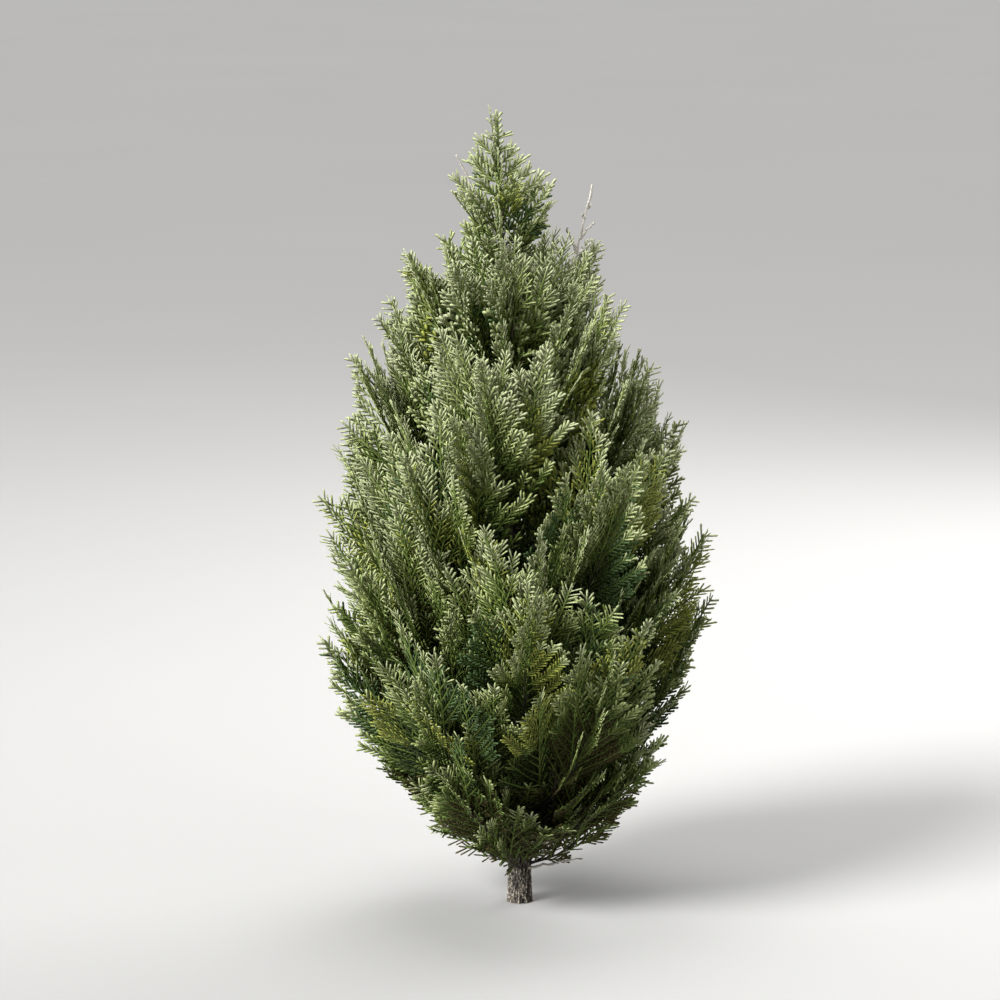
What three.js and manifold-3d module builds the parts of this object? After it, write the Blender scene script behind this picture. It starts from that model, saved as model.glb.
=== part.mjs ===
// A young red cedar shrub, rooted in the ground: one leaning trunk that runs up through the crown, tiers of
// boughs that leave it low and sweep upwards, and at each bough's tip a flame-shaped mass of toothed sprays.
// Millimetres, +Z up, origin at the middle of the flat cut under the trunk.
import * as THREE from "three";
import { mergeVertices } from "three/addons/utils/BufferGeometryUtils.js";
import Module from "manifold-3d";

const wasm = await Module();
wasm.setup();

// Driving dimensions of the whole plant
const HEIGHT = 1200; // ground to the tip of the leader
const CROWN_RADIUS = 298; // widest reach of the sprays from the trunk's line
const CROWN_FOOT = 48; // height of the lowest sprays
const CROWN_BULGE = 0.4; // share of the crown's height at which it is widest
const LEAN = -34; // how far the leader stands to the left of the foot
const LEAN_POWER = 1.4; // above 1 the lean grows towards the top
const SWAY = 5; // depth of the trunk's slow bend

// The trunk
const TRUNK_TOP = 965; // where the woody trunk ends and the leader's spray begins
const TRUNK_RADIUS = 17.2; // just above the root flare
const TRUNK_TIP_RADIUS = 2.6;
const ROOT_FLARE = 1.9; // added to the radius at the ground
const FLARE_FALL = 16; // height over which the flare fades
const TRUNK_SIDES = 12;
const TRUNK_RINGS = 13;
const RING_POWER = 1.5; // above 1 crowds the rings towards the flare

// Finishes
const BARK = new THREE.MeshStandardMaterial({ color: 0x8d8071, roughness: 0.9, metalness: 0 });
const DEEP_GREEN = new THREE.MeshStandardMaterial({ color: 0x4b5c3c, roughness: 0.7, metalness: 0 });
const SAGE_GREEN = new THREE.MeshStandardMaterial({ color: 0x7d8f63, roughness: 0.7, metalness: 0 });
const PALE_GREEN = new THREE.MeshStandardMaterial({ color: 0xa3b088, roughness: 0.7, metalness: 0 });

// Tiers of boughs, from the skirt up: height of their tips, how many, the first one's azimuth from +X, the
// degrees by which the plane of the sprays is turned from upright (90 is level) and by which that varies,
// whether a bare bough carries each mass or its stem springs from the trunk itself, and the sprays' colour;
// the last is a pair on the crown's shoulders, between the two tiers before it
const TIERS = [
  { tip: 150, count: 4, first: -12, twist: 90, twistScatter: 15, bough: false, colour: DEEP_GREEN },
  { tip: 258, count: 4, first: 338, twist: 60, twistScatter: 30, bough: true, colour: DEEP_GREEN },
  { tip: 418, count: 6, first: 0, twist: 0, twistScatter: 60, bough: true, colour: SAGE_GREEN },
  { tip: 560, count: 5, first: 352, twist: 0, twistScatter: 60, bough: true, colour: SAGE_GREEN },
  { tip: 700, count: 5, first: 18, twist: 0, twistScatter: 60, bough: true, colour: SAGE_GREEN },
  { tip: 836, count: 4, first: -6, twist: 0, twistScatter: 60, bough: true, colour: PALE_GREEN },
  { tip: 1000, count: 4, first: 188, twist: 0, twistScatter: 60, bough: false, colour: PALE_GREEN },
  { tip: 925, count: 2, first: 340, twist: 0, twistScatter: 60, bough: false, colour: PALE_GREEN },
];
const LOWEST_TIP = Math.min(...TIERS.map((tier) => tier.tip));
const HIGHEST_TIP = Math.max(...TIERS.map((tier) => tier.tip));
const LOWEST_ROOT = 62; // where the skirt leaves the trunk
const HIGHEST_ROOT = 740; // where the top tier leaves it
const ROOT_POWER = 2; // above 1 crowds the boughs' roots low on the trunk
const ROOT_SCATTER = 12; // heights vary by up to this much either way
const TIP_SCATTER = 24;
const AZIMUTH_SCATTER = 8;
const REACH_SCATTER = 0.08; // share by which a tip may fall short of the crown's outline
const BEND_OUT = 0.62; // the curve's middle point, as shares of its reach and of its rise:
const BEND_UP = 0.3; // a bough leaves flat and turns upwards

// Boughs and stems
const BOUGH_ROOT_RADIUS = 5.6;
const BOUGH_TIP_RADIUS = 3;
const BOUGH_SHARE = 0.28; // share of the curve that is bare bough; the mass has the rest
const BOUGH_SIDES = 5;
const BOUGH_STEPS = 3;
const STEM_RADIUS = 2.7; // where a stem meets its bough
const TRUNK_STEM_RADIUS = 4; // where a stem springs from the trunk
const STEM_TIP_RADIUS = 0.95; // thinner than a blade, so that it ends inside the last blade's root
const STEM_SIDES = 4;
const STEM_STEPS = 2;
const STEM_FROM = 0.12; // share of its line below which a stem that springs from the trunk has no twigs
const STEM_END = 0.5; // share of the mass's line where the stem gives way to the last spray
const JOINT_GAP = 0.3; // clear space between neighbouring solids

// Twigs and the toothed blades that stand for flat sprays of scale leaves
const TWIGS_A_MASS = 4; // to either hand in turn
const FIRST_TWIG = 0.08; // shares of the mass's line where the first and last twigs branch off
const LAST_TWIG = 0.52;
const TWIG_LEAN = 34; // degrees between a twig and its stem
const PAIR_TURN = 70; // degrees by which every second pair of twigs is turned out of the mass's own plane
const TWIG_ROLL_SCATTER = 25; // degrees by which a twig may leave its pair's plane
const TWIG_RADIUS = 1.1;
const TWIG_TIP_RADIUS = 0.6; // thinner than a blade, so that it ends inside the blade's root
const TWIG_SHARE = 0.24; // share of a spray's length that is bare twig
const SPRAY_SHARE = 0.72; // the lowest spray's length, as a share of the mass's line
const SPRAY_SHRINK = 0.3; // share of that length lost by the last station
const ROOT_SUNK = 9; // length of a blade's root that is sunk into its twig or stem
const BLADE_THICKNESS = 2.8; // along its rib; its edges are thin
const LEAST_THICKNESS = 0.02; // of a blade, as a share of its length
const RIB_HALF_WIDTH = 2.4; // at the root
const RIB_PLACE = 0.4; // where the faces of a finger meet the rib, as a share of the step from it to the next
const FINGER_LEAN = 37; // degrees between a finger and the rib
const FINGER_SHARE = 0.58; // the longest finger against the blade's length
const FINGER_SHRINK = 0.72; // share of that lost towards the blade's tip
const FINGERED_SHARE = 0.72; // share of the rib that carries fingers
const FINGERS_A_SIDE = 3;
const FINGER_STAGGER = 0.25; // share of that step by which the fingers of one side stand ahead of the other's
const NOTCH_SHARE = 0.26; // how far out along a finger the notch between it and the next one is cut
// A spray that doesn't fit its space is turned about its stem by these degrees, made smaller, or skipped
const ROLL_TRIES = [0, 20, -20, 40, -40, 60, -60, 80, -80];
const SIZE_TRIES = [1, 0.92, 0.84, 0.76, 0.68, 0.6, 0.5, 0.42];
const END_WIDTH_TRIES = [1, 0.85, 0.7, 0.55, 0.4]; // a stem's last spray keeps its length and gets narrower
const SPACE_GAP = 1.5; // kept free between the spaces of two masses, and round every limb
const OUTLINE_SLACK = 6; // a tip may pass the crown's outline by this much
const PATH_STEPS = 10; // straight steps that stand for a curved line where distances to it are measured
const EDGE_STEPS = 4; // places on each edge of a blade that are tested

// The leader's mass, and the bare dry shoot that stands out of the crown at the upper right
const LEADER_TWIGS = 7;
const LEADER_SPRAY = 150; // its lowest spray
const LEADER_SHRINK = 0.6;
const DRY_SHOOT = { tier: 6, bough: 2, station: 0.45, rise: 246, out: 60, radius: 1.6, tipRadius: 0.8 };
const DRY_TWIGS = 3; // to either hand in turn on the shoot's upper half
const DRY_TWIG = { first: 0.62, step: 0.11, lean: 36, share: 0.2, shrink: 0.04, radius: 1.1, tipRadius: 0.6 };

const SEED = 21;
const SEED_STEP = 977; // between the seeds of one mass and the next
const SEEDS_A_TIER = 10;
const GOLDEN_TURN = 137.5; // degrees between one twig of the leader and the next

const radians = THREE.MathUtils.degToRad;
const { clamp, lerp } = THREE.MathUtils;

// A repeatable stream of numbers from 0 to 1
function seeded(seed) {
  let state = seed >>> 0;
  return () => {
    state = (Math.imul(state, 1664525) + 1013904223) >>> 0;
    return state / 4294967296;
  };
}

// A number from -size to size
const spread = (random, size) => (2 * random() - 1) * size;

// Outline of the crown: its radius at a height
function crownRadius(z) {
  const share = clamp((z - CROWN_FOOT) / (HEIGHT - CROWN_FOOT), 0, 1);
  const power = CROWN_BULGE / (1 - CROWN_BULGE);
  const peak = CROWN_BULGE ** power * (1 - CROWN_BULGE);
  return (CROWN_RADIUS * share ** power * (1 - share)) / peak;
}

// The trunk's line and radius at a height
function trunkPoint(z) {
  const x = LEAN * (z / HEIGHT) ** LEAN_POWER;
  const y = SWAY * Math.sin((Math.PI * z) / TRUNK_TOP);
  return new THREE.Vector3(x, y, z);
}

function trunkRadius(z) {
  const taper = lerp(TRUNK_RADIUS, TRUNK_TIP_RADIUS, z / TRUNK_TOP);
  return taper + ROOT_FLARE * Math.exp(-z / FLARE_FALL);
}

// A closed geometry as a solid, and a solid as a geometry
function solidOf(geometry) {
  geometry.deleteAttribute("normal");
  geometry.deleteAttribute("uv");
  const merged = mergeVertices(geometry);
  return new wasm.Manifold(
    new wasm.Mesh({
      numProp: 3,
      vertProperties: new Float32Array(merged.attributes.position.array),
      triVerts: new Uint32Array(merged.index.array),
    }),
  );
}

function geometryOf(solid) {
  const made = solid.getMesh();
  const geometry = new THREE.BufferGeometry();
  geometry.setAttribute("position", new THREE.BufferAttribute(new Float32Array(made.vertProperties), 3));
  geometry.setIndex(new THREE.BufferAttribute(new Uint32Array(made.triVerts), 1));
  geometry.computeVertexNormals();
  return geometry;
}

// Joins solids into the one outer body; a loose scrap or a sealed hollow is left out
function fuse(solids) {
  const joined = solids.reduce((whole, next) => whole.add(next));
  return joined.decompose().reduce((most, body) => (body.volume() > most.volume() ? body : most));
}

// A cylinder whose vertices are moved ring by ring: place(share along it) gives each ring's frame and radius
function sweptSolid(sides, steps, place) {
  const geometry = new THREE.CylinderGeometry(1, 1, 1, sides, steps);
  const position = geometry.attributes.position;
  const vertex = new THREE.Vector3();
  for (let i = 0; i < position.count; i++) {
    vertex.fromBufferAttribute(position, i);
    const ring = place(vertex.y + 0.5);
    const moved = ring.middle.clone();
    moved.addScaledVector(ring.across, vertex.x * ring.radius);
    moved.addScaledVector(ring.beside, vertex.z * ring.radius);
    position.setXYZ(i, moved.x, moved.y, moved.z);
  }
  return solidOf(geometry);
}

// The trunk, with level rings so that its foot is a flat cut on the ground; grown makes it thicker all round
function trunkSolid(grown = 0) {
  const across = new THREE.Vector3(1, 0, 0);
  const beside = new THREE.Vector3(0, -1, 0);
  return sweptSolid(TRUNK_SIDES, TRUNK_RINGS, (share) => {
    const z = TRUNK_TOP * share ** RING_POWER;
    return { middle: trunkPoint(z), across, beside, radius: trunkRadius(z) + grown };
  });
}

// A tapering limb along part of a curve, from one share of it to another
function limbSolid(line, from, to, fromRadius, toRadius, sides, steps) {
  return sweptSolid(sides, steps, (share) => {
    const along = lerp(from, to, share);
    const frame = frameAt(line, along);
    return {
      middle: line.curve.getPoint(along),
      across: frame.up,
      beside: frame.side,
      radius: lerp(fromRadius, toRadius, share),
    };
  });
}

function boughSolid(line) {
  return limbSolid(line, 0, line.start, BOUGH_ROOT_RADIUS, BOUGH_TIP_RADIUS, BOUGH_SIDES, BOUGH_STEPS);
}

// Directions at a place on a line: along it, level to its side, and up from it
function frameAt(line, along) {
  const ahead = line.curve.getTangent(along);
  const side = line.side.clone().addScaledVector(ahead, -line.side.dot(ahead)).normalize();
  const up = new THREE.Vector3().crossVectors(ahead, side);
  return { ahead, side, up };
}

// A straight three-sided twig
function twigSolid(root, ahead, side, length, radius, tipRadius) {
  const up = new THREE.Vector3().crossVectors(ahead, side);
  return sweptSolid(3, 1, (share) => ({
    middle: root.clone().addScaledVector(ahead, length * share),
    across: up,
    beside: side,
    radius: lerp(radius, tipRadius, share),
  }));
}

// One edge of a toothed blade in its own plane, from its root to its tip: fingers that slant forwards from
// the rib, which runs along x, and notches between them
function bladeEdge(length, side, width) {
  const lean = radians(FINGER_LEAN);
  const step = (length * FINGERED_SHARE) / FINGERS_A_SIDE;
  const points = [new THREE.Vector3(0, side * RIB_HALF_WIDTH, 0)];
  for (let k = 0; k < FINGERS_A_SIDE; k++) {
    const base = new THREE.Vector3(step * (k + (side > 0 ? FINGER_STAGGER : 0)), 0, 0);
    const reach = length * width * FINGER_SHARE * (1 - FINGER_SHRINK * (k / FINGERS_A_SIDE));
    const finger = new THREE.Vector3(reach * Math.cos(lean), side * reach * Math.sin(lean), 0);
    if (k > 0) points.push(base.clone().addScaledVector(finger, NOTCH_SHARE));
    points.push(base.add(finger));
  }
  return points;
}

// A blade's closed surface: on each face, flat triangles that fall from places on the rib to the thin edges
function bladeGeometry(length, width) {
  const height = Math.max(BLADE_THICKNESS, length * LEAST_THICKNESS) / 2;
  const step = (length * FINGERED_SHARE) / FINGERS_A_SIDE;
  const ribAt = (x, face) => new THREE.Vector3(x, 0, face * height);
  const tip = new THREE.Vector3(length, 0, 0);
  const corners = [];
  for (const face of [-1, 1]) {
    for (const side of [-1, 1]) {
      const add = (a, b, c) => corners.push(...(face * side < 0 ? [a, b, c] : [b, a, c]));
      const edge = [...bladeEdge(length, side, width), tip];
      let rib = ribAt(0, face);
      for (let k = 0; k < FINGERS_A_SIDE; k++) {
        const nextRib = ribAt(step * (k + RIB_PLACE), face);
        add(edge[2 * k], nextRib, rib);
        add(edge[2 * k], edge[2 * k + 1], nextRib);
        add(edge[2 * k + 1], edge[2 * k + 2], nextRib);
        rib = nextRib;
      }
    }
  }
  const left = bladeEdge(length, 1, width)[0];
  const right = bladeEdge(length, -1, width)[0];
  corners.push(ribAt(0, 1), left, right, left, ribAt(0, -1), right);
  return new THREE.BufferGeometry().setFromPoints(corners);
}

// A blade placed in space: its root, the way its rib runs, the way its fingers spread, and how wide it is
function placeBlade(root, ahead, spreadWay, length, width = 1) {
  const across = spreadWay.clone().addScaledVector(ahead, -spreadWay.dot(ahead)).normalize();
  const normal = new THREE.Vector3().crossVectors(ahead, across);
  const matrix = new THREE.Matrix4().makeBasis(ahead, across, normal).setPosition(root);
  const tip = new THREE.Vector3(length, 0, 0);
  const outline = [...bladeEdge(length, -1, width), tip, ...bladeEdge(length, 1, width).reverse()];
  return { outline: outline.map((point) => point.applyMatrix4(matrix)), matrix, length, width };
}

function bladeSolid(blade) {
  return solidOf(bladeGeometry(blade.length, blade.width).applyMatrix4(blade.matrix));
}

// The line that a bough and its mass follow, from the trunk's line to the mass's tip
function boughLine(tier, index) {
  const random = seeded(SEED + SEED_STEP * (SEEDS_A_TIER * TIERS.indexOf(tier) + index));
  const azimuth = radians(tier.first + (360 / tier.count) * index + spread(random, AZIMUTH_SCATTER));
  const out = new THREE.Vector3(Math.cos(azimuth), Math.sin(azimuth), 0);
  const tipHeight = tier.tip + spread(random, TIP_SCATTER);
  const height = (tier.tip - LOWEST_TIP) / (HIGHEST_TIP - LOWEST_TIP);
  const rootHeight = lerp(LOWEST_ROOT, HIGHEST_ROOT, height ** ROOT_POWER) + spread(random, ROOT_SCATTER);
  const reach = crownRadius(tipHeight) * (1 - REACH_SCATTER * random());
  const root = trunkPoint(rootHeight);
  const tip = trunkPoint(tipHeight).addScaledVector(out, reach);
  const bend = root.clone().addScaledVector(out, reach * BEND_OUT);
  bend.z = lerp(rootHeight, tipHeight, BEND_UP);
  return {
    curve: new THREE.QuadraticBezierCurve3(root, bend, tip),
    side: new THREE.Vector3(-out.y, out.x, 0),
    start: tier.bough ? BOUGH_SHARE : 0,
    twist: radians(tier.twist + spread(random, tier.twistScatter)),
    random,
  };
}

const lines = TIERS.flatMap((tier) => Array.from({ length: tier.count }, (_, i) => boughLine(tier, i)));
const leaderLine = {
  curve: new THREE.LineCurve3(trunkPoint(TRUNK_TOP), trunkPoint(HEIGHT)),
  side: new THREE.Vector3(0, 1, 0),
  start: 0,
  random: seeded(SEED),
};
const allLines = [...lines, leaderLine];

// Each mass has the space that lies nearer to its own line than to any other mass's line
for (const line of allLines) {
  const from = Math.max(line.start, STEM_FROM);
  line.path = Array.from({ length: PATH_STEPS + 1 }, (_, i) =>
    line.curve.getPoint(lerp(from, 1, i / PATH_STEPS)),
  );
}

const segment = new THREE.Line3();
const nearest = new THREE.Vector3();

function distanceToPath(point, path) {
  let least = Infinity;
  for (let i = 1; i < path.length; i++) {
    segment.set(path[i - 1], path[i]).closestPointToPoint(point, true, nearest);
    least = Math.min(least, nearest.distanceTo(point));
  }
  return least;
}

// Bare boughs as paths with a radius, for keeping sprays off them
const boughPaths = lines
  .filter((line) => line.start > 0)
  .map((line) =>
    Array.from({ length: PATH_STEPS + 1 }, (_, i) => line.curve.getPoint((line.start * i) / PATH_STEPS)),
  );

function inSpace(point, line) {
  const middle = trunkPoint(clamp(point.z, 0, HEIGHT));
  const radius = Math.hypot(point.x - middle.x, point.y - middle.y);
  if (point.z < CROWN_FOOT || point.z > HEIGHT || radius > crownRadius(point.z) + OUTLINE_SLACK) return false;
  if (point.z < TRUNK_TOP && radius < trunkRadius(point.z) + SPACE_GAP) return false;
  if (boughPaths.some((path) => distanceToPath(point, path) < BOUGH_ROOT_RADIUS + SPACE_GAP)) return false;
  const own = distanceToPath(point, line.path);
  return allLines.every((other) => other === line || distanceToPath(point, other.path) > own + 2 * SPACE_GAP);
}

// Whether a blade's outline, taken at its corners and at places between them, lies in its mass's space
function bladeFits(blade, line) {
  return blade.outline.every((point, i) => {
    const next = blade.outline[(i + 1) % blade.outline.length];
    return Array.from({ length: EDGE_STEPS }, (_, k) => k / EDGE_STEPS).every((share) => {
      const place = point.clone().lerp(next, share);
      return inSpace(place, line);
    });
  });
}

// A twig on a stem and the spray at its end, as solids: the largest that fits its space, or none
function twigWithSpray(line, along, roll, hand, length) {
  const { ahead, side, up } = frameAt(line, along);
  const root = line.curve.getPoint(along);
  const lean = radians(TWIG_LEAN) * hand;
  for (const size of SIZE_TRIES) {
    for (const turn of ROLL_TRIES) {
      const angle = roll + radians(turn);
      const outward = side.clone().multiplyScalar(Math.sin(angle)).addScaledVector(up, Math.cos(angle));
      const way = ahead.clone().multiplyScalar(Math.cos(lean)).addScaledVector(outward, Math.sin(lean));
      const twigLength = length * size * TWIG_SHARE;
      const bladeRoot = root.clone().addScaledVector(way, twigLength);
      const blade = placeBlade(bladeRoot, way, ahead, length * size - twigLength);
      if (bladeFits(blade, line)) {
        const normal = new THREE.Vector3().crossVectors(way, ahead).normalize();
        const twig = twigSolid(root, way, normal, twigLength + ROOT_SUNK, TWIG_RADIUS, TWIG_TIP_RADIUS);
        return [twig, bladeSolid(blade)];
      }
    }
  }
  return [];
}

// The spray at the end of a stem, its root sunk into the stem and its tip at the end of the mass's line: the
// widest that fits its space
function endSpray(line, spreadWay) {
  const tip = line.curve.getPoint(1);
  const stemEnd = line.curve.getPoint(lerp(line.start, 1, STEM_END));
  const way = tip.clone().sub(stemEnd).normalize();
  const root = stemEnd.addScaledVector(way, -ROOT_SUNK);
  const length = tip.distanceTo(root);
  for (const width of END_WIDTH_TRIES) {
    for (const turn of ROLL_TRIES) {
      const across = spreadWay.clone().applyAxisAngle(way, radians(turn));
      const blade = placeBlade(root, way, across, length, width);
      if (bladeFits(blade, line)) return bladeSolid(blade);
    }
  }
  return bladeSolid(placeBlade(root, way, spreadWay, length, END_WIDTH_TRIES.at(-1)));
}

// The plane of a mass's sprays: the way that they spread to either side of the stem
function spreadWayAt(line, along) {
  const { side, up } = frameAt(line, along);
  return up.multiplyScalar(Math.cos(line.twist)).addScaledVector(side, Math.sin(line.twist));
}

// One bough's mass: a stem, twigs to either hand in turn with a spray each, and a last spray at the tip
function massSolid(line, extra = []) {
  const wide = line.start > 0 ? STEM_RADIUS : TRUNK_STEM_RADIUS;
  const span = line.curve.getLength() * (1 - line.start);
  const gap = line.start > 0 ? JOINT_GAP / line.curve.getLength() : 0;
  const end = lerp(line.start, 1, STEM_END);
  const solids = [limbSolid(line, line.start + gap, end, wide, STEM_TIP_RADIUS, STEM_SIDES, STEM_STEPS)];
  for (let k = 0; k < TWIGS_A_MASS; k++) {
    const station = lerp(FIRST_TWIG, LAST_TWIG, k / (TWIGS_A_MASS - 1));
    const along = lerp(Math.max(line.start, STEM_FROM), 1, station);
    const pair = Math.floor(k / 2) % 2;
    const roll = line.twist + radians(PAIR_TURN * pair + spread(line.random, TWIG_ROLL_SCATTER));
    const length = span * SPRAY_SHARE * (1 - SPRAY_SHRINK * station);
    solids.push(...twigWithSpray(line, along, roll, k % 2 ? 1 : -1, length));
  }
  solids.push(endSpray(line, spreadWayAt(line, STEM_END)), ...extra);
  return fuse(solids);
}

// The leader: twigs all round a short upright stem
function leaderSolid() {
  const gap = JOINT_GAP / (HEIGHT - TRUNK_TOP);
  const solids = [limbSolid(leaderLine, gap, STEM_END, STEM_RADIUS, STEM_TIP_RADIUS, STEM_SIDES, STEM_STEPS)];
  for (let k = 0; k < LEADER_TWIGS; k++) {
    const along = lerp(FIRST_TWIG, LAST_TWIG, k / (LEADER_TWIGS - 1));
    const length = LEADER_SPRAY * (1 - LEADER_SHRINK * along);
    solids.push(...twigWithSpray(leaderLine, along, radians(GOLDEN_TURN * k), 1, length));
  }
  solids.push(endSpray(leaderLine, new THREE.Vector3(1, 0, 0)));
  return fuse(solids);
}

// The dry shoot: a thin bare twig with a few bare side twigs to either hand, rooted in one mass's stem
function dryShootSolids(line) {
  const { ahead, side } = frameAt(line, DRY_SHOOT.station);
  const root = line.curve.getPoint(DRY_SHOOT.station);
  const out = new THREE.Vector3(ahead.x, ahead.y, 0).normalize();
  const rise = new THREE.Vector3(0, 0, DRY_SHOOT.rise).addScaledVector(out, DRY_SHOOT.out);
  const length = rise.length();
  const way = rise.clone().normalize();
  const solids = [twigSolid(root, way, side, length, DRY_SHOOT.radius, DRY_SHOOT.tipRadius)];
  for (let k = 0; k < DRY_TWIGS; k++) {
    const from = root.clone().addScaledVector(rise, DRY_TWIG.first + DRY_TWIG.step * k);
    const sideWay = way.clone().applyAxisAngle(side, radians(k % 2 ? DRY_TWIG.lean : -DRY_TWIG.lean));
    const sideLength = length * (DRY_TWIG.share - DRY_TWIG.shrink * k);
    solids.push(twigSolid(from, sideWay, side, sideLength, DRY_TWIG.radius, DRY_TWIG.tipRadius));
  }
  return solids;
}

const shrub = new THREE.Group();

function addPiece(name, solid, material) {
  const piece = new THREE.Mesh(geometryOf(solid), material);
  piece.name = name;
  shrub.add(piece);
}

const trunkRoom = trunkSolid(JOINT_GAP);
addPiece("trunk", trunkSolid(), BARK);

let number = 0;
TIERS.forEach((tier, t) => {
  for (let i = 0; i < tier.count; i++) {
    const line = lines[number];
    number += 1;
    const label = String(number).padStart(2, "0");
    const hasDryShoot = t === DRY_SHOOT.tier && i === DRY_SHOOT.bough;
    const mass = massSolid(line, hasDryShoot ? dryShootSolids(line) : []);
    if (tier.bough) {
      addPiece(`bough_${label}`, fuse([boughSolid(line).subtract(trunkRoom)]), BARK);
    }
    addPiece(`foliage_${label}`, fuse([mass.subtract(trunkRoom)]), tier.colour);
  }
});
addPiece("leader_foliage", leaderSolid(), PALE_GREEN);

export default shrub;
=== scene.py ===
"""Looks of a young red cedar shrub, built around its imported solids.

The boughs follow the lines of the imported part, and each mass of foliage is grown again on its line by the
same rule, carried on from plumes to branchlets and to single shoots of scale leaves. Metres, +Z up, origin
on the ground in the middle of the trunk.
"""

import functools
import math
from collections import namedtuple

import bpy
import numpy as np
from bpy.props import FloatProperty, FloatVectorProperty, IntProperty, PointerProperty
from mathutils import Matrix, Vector, noise


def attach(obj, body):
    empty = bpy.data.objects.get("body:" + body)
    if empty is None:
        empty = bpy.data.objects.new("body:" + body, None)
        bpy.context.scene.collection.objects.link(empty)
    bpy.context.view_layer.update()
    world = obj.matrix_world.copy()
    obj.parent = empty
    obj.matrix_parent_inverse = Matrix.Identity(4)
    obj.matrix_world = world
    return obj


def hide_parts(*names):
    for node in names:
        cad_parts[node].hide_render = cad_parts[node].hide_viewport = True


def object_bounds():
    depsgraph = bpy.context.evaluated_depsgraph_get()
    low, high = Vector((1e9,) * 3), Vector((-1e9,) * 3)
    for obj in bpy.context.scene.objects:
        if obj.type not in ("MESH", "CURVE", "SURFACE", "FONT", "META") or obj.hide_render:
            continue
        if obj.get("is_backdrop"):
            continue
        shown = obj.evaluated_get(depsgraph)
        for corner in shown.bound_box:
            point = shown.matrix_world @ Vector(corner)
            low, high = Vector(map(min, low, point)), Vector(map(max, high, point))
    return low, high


bl_info = {
    "name": "Red Cedar Shrub",
    "version": (1, 0, 0),
    "blender": (4, 5, 0),
    "location": "View3D > Sidebar > Shrub",
    "description": "Bark, boughs and scale-leaf sprays of a young red cedar shrub",
    "category": "Add Mesh",
}

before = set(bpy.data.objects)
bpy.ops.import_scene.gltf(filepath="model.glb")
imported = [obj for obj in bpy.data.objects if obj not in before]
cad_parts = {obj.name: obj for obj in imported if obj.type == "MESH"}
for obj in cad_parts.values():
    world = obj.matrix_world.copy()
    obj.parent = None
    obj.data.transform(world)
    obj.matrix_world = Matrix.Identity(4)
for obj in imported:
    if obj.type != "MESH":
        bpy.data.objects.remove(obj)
cad_low, cad_high = (list(corner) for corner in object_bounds())

BODY = "root"
UP = np.array([0.0, 0, 1])
WHITE = (1, 1, 1)

# The crown and the trunk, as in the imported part
HEIGHT = cad_high[2]
CROWN_RADIUS = 0.298
CROWN_FOOT = 0.048
CROWN_BULGE = 0.4  # share of the crown's height where it is widest
SLOPE_STEP = 0.004  # height over which the outline's slope is measured
LEAST_RADIUS = 0.03  # depths near the crown's two ends are measured against this radius,
MOST_DEPTH = 1.1  # and no depth counts as more than this
LEAN = -0.034
LEAN_POWER = 1.4
SWAY = 0.005
TRUNK_TOP = 0.965
TRUNK_RADIUS = 0.0172
TRUNK_TIP_RADIUS = 0.0026
ROOT_FLARE = 0.0019
FLARE_FALL = 0.016

# Tiers of boughs from the skirt up: height of their tips, how many, azimuth of the first in degrees, turn of
# the sprays' plane and how far that varies, and whether a bare bough carries the mass
Tier = namedtuple("Tier", "tip count first twist twist_scatter bough")
TIERS = (
    Tier(0.150, 4, -12, 90, 15, False),
    Tier(0.258, 4, 338, 60, 30, True),
    Tier(0.418, 6, 0, 0, 60, True),
    Tier(0.560, 5, 352, 0, 60, True),
    Tier(0.700, 5, 18, 0, 60, True),
    Tier(0.836, 4, -6, 0, 60, True),
    Tier(1.000, 4, 188, 0, 60, False),
    Tier(0.925, 2, 340, 0, 60, False),
)
LOWEST_TIP = min(tier.tip for tier in TIERS)
HIGHEST_TIP = max(tier.tip for tier in TIERS)
LOWEST_ROOT = 0.062
HIGHEST_ROOT = 0.740
ROOT_POWER = 2
ROOT_SCATTER = 0.012
TIP_SCATTER = 0.024
AZIMUTH_SCATTER = 8
REACH_SCATTER = 0.08
BEND_OUT = 0.62  # where a line bends, as a share of its reach,
BEND_UP = 0.3  # and of its rise
MASS_FROM = 0.12  # share of a line where its mass begins if no bough carries it
MOST_FLAME = 1.2  # places past a mass's tip count as no further along it than this
LENGTH_POINTS = 200  # points by which a line's length is measured
PATH_STEPS = 10  # straight pieces that stand for a line where distances are measured
SEED = 21
SEED_STEP = 977
SEEDS_A_TIER = 10
STREAM_FACTOR = 1664525  # of the stream of seeded numbers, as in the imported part
STREAM_STEP = 1013904223
STREAM_SIZE = 2**32

# Boughs and stems, and the rings and sides of the limbs' meshes
BOUGH_SHARE = 0.28  # share of a line that is bare bough
BOUGH_RADII = (0.0056, 0.003)
BOUGH_MESH = (26, 12)
STEM_RADIUS = 0.0027  # where a bough carries the stem,
TRUNK_STEM_RADIUS = 0.003  # and where the trunk does
STEM_TIP_RADIUS = 0.00095
STEM_END = 0.5  # share of a mass's line where its stem ends
STEM_MESH = (30, 8)
STEM_OFFSET = 0.5  # sets a stem's bark apart from its bough's
TRUNK_RINGS = 210
TRUNK_SIDES = 96
RING_POWER = 2  # above 1 crowds the trunk's rings towards its foot

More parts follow.
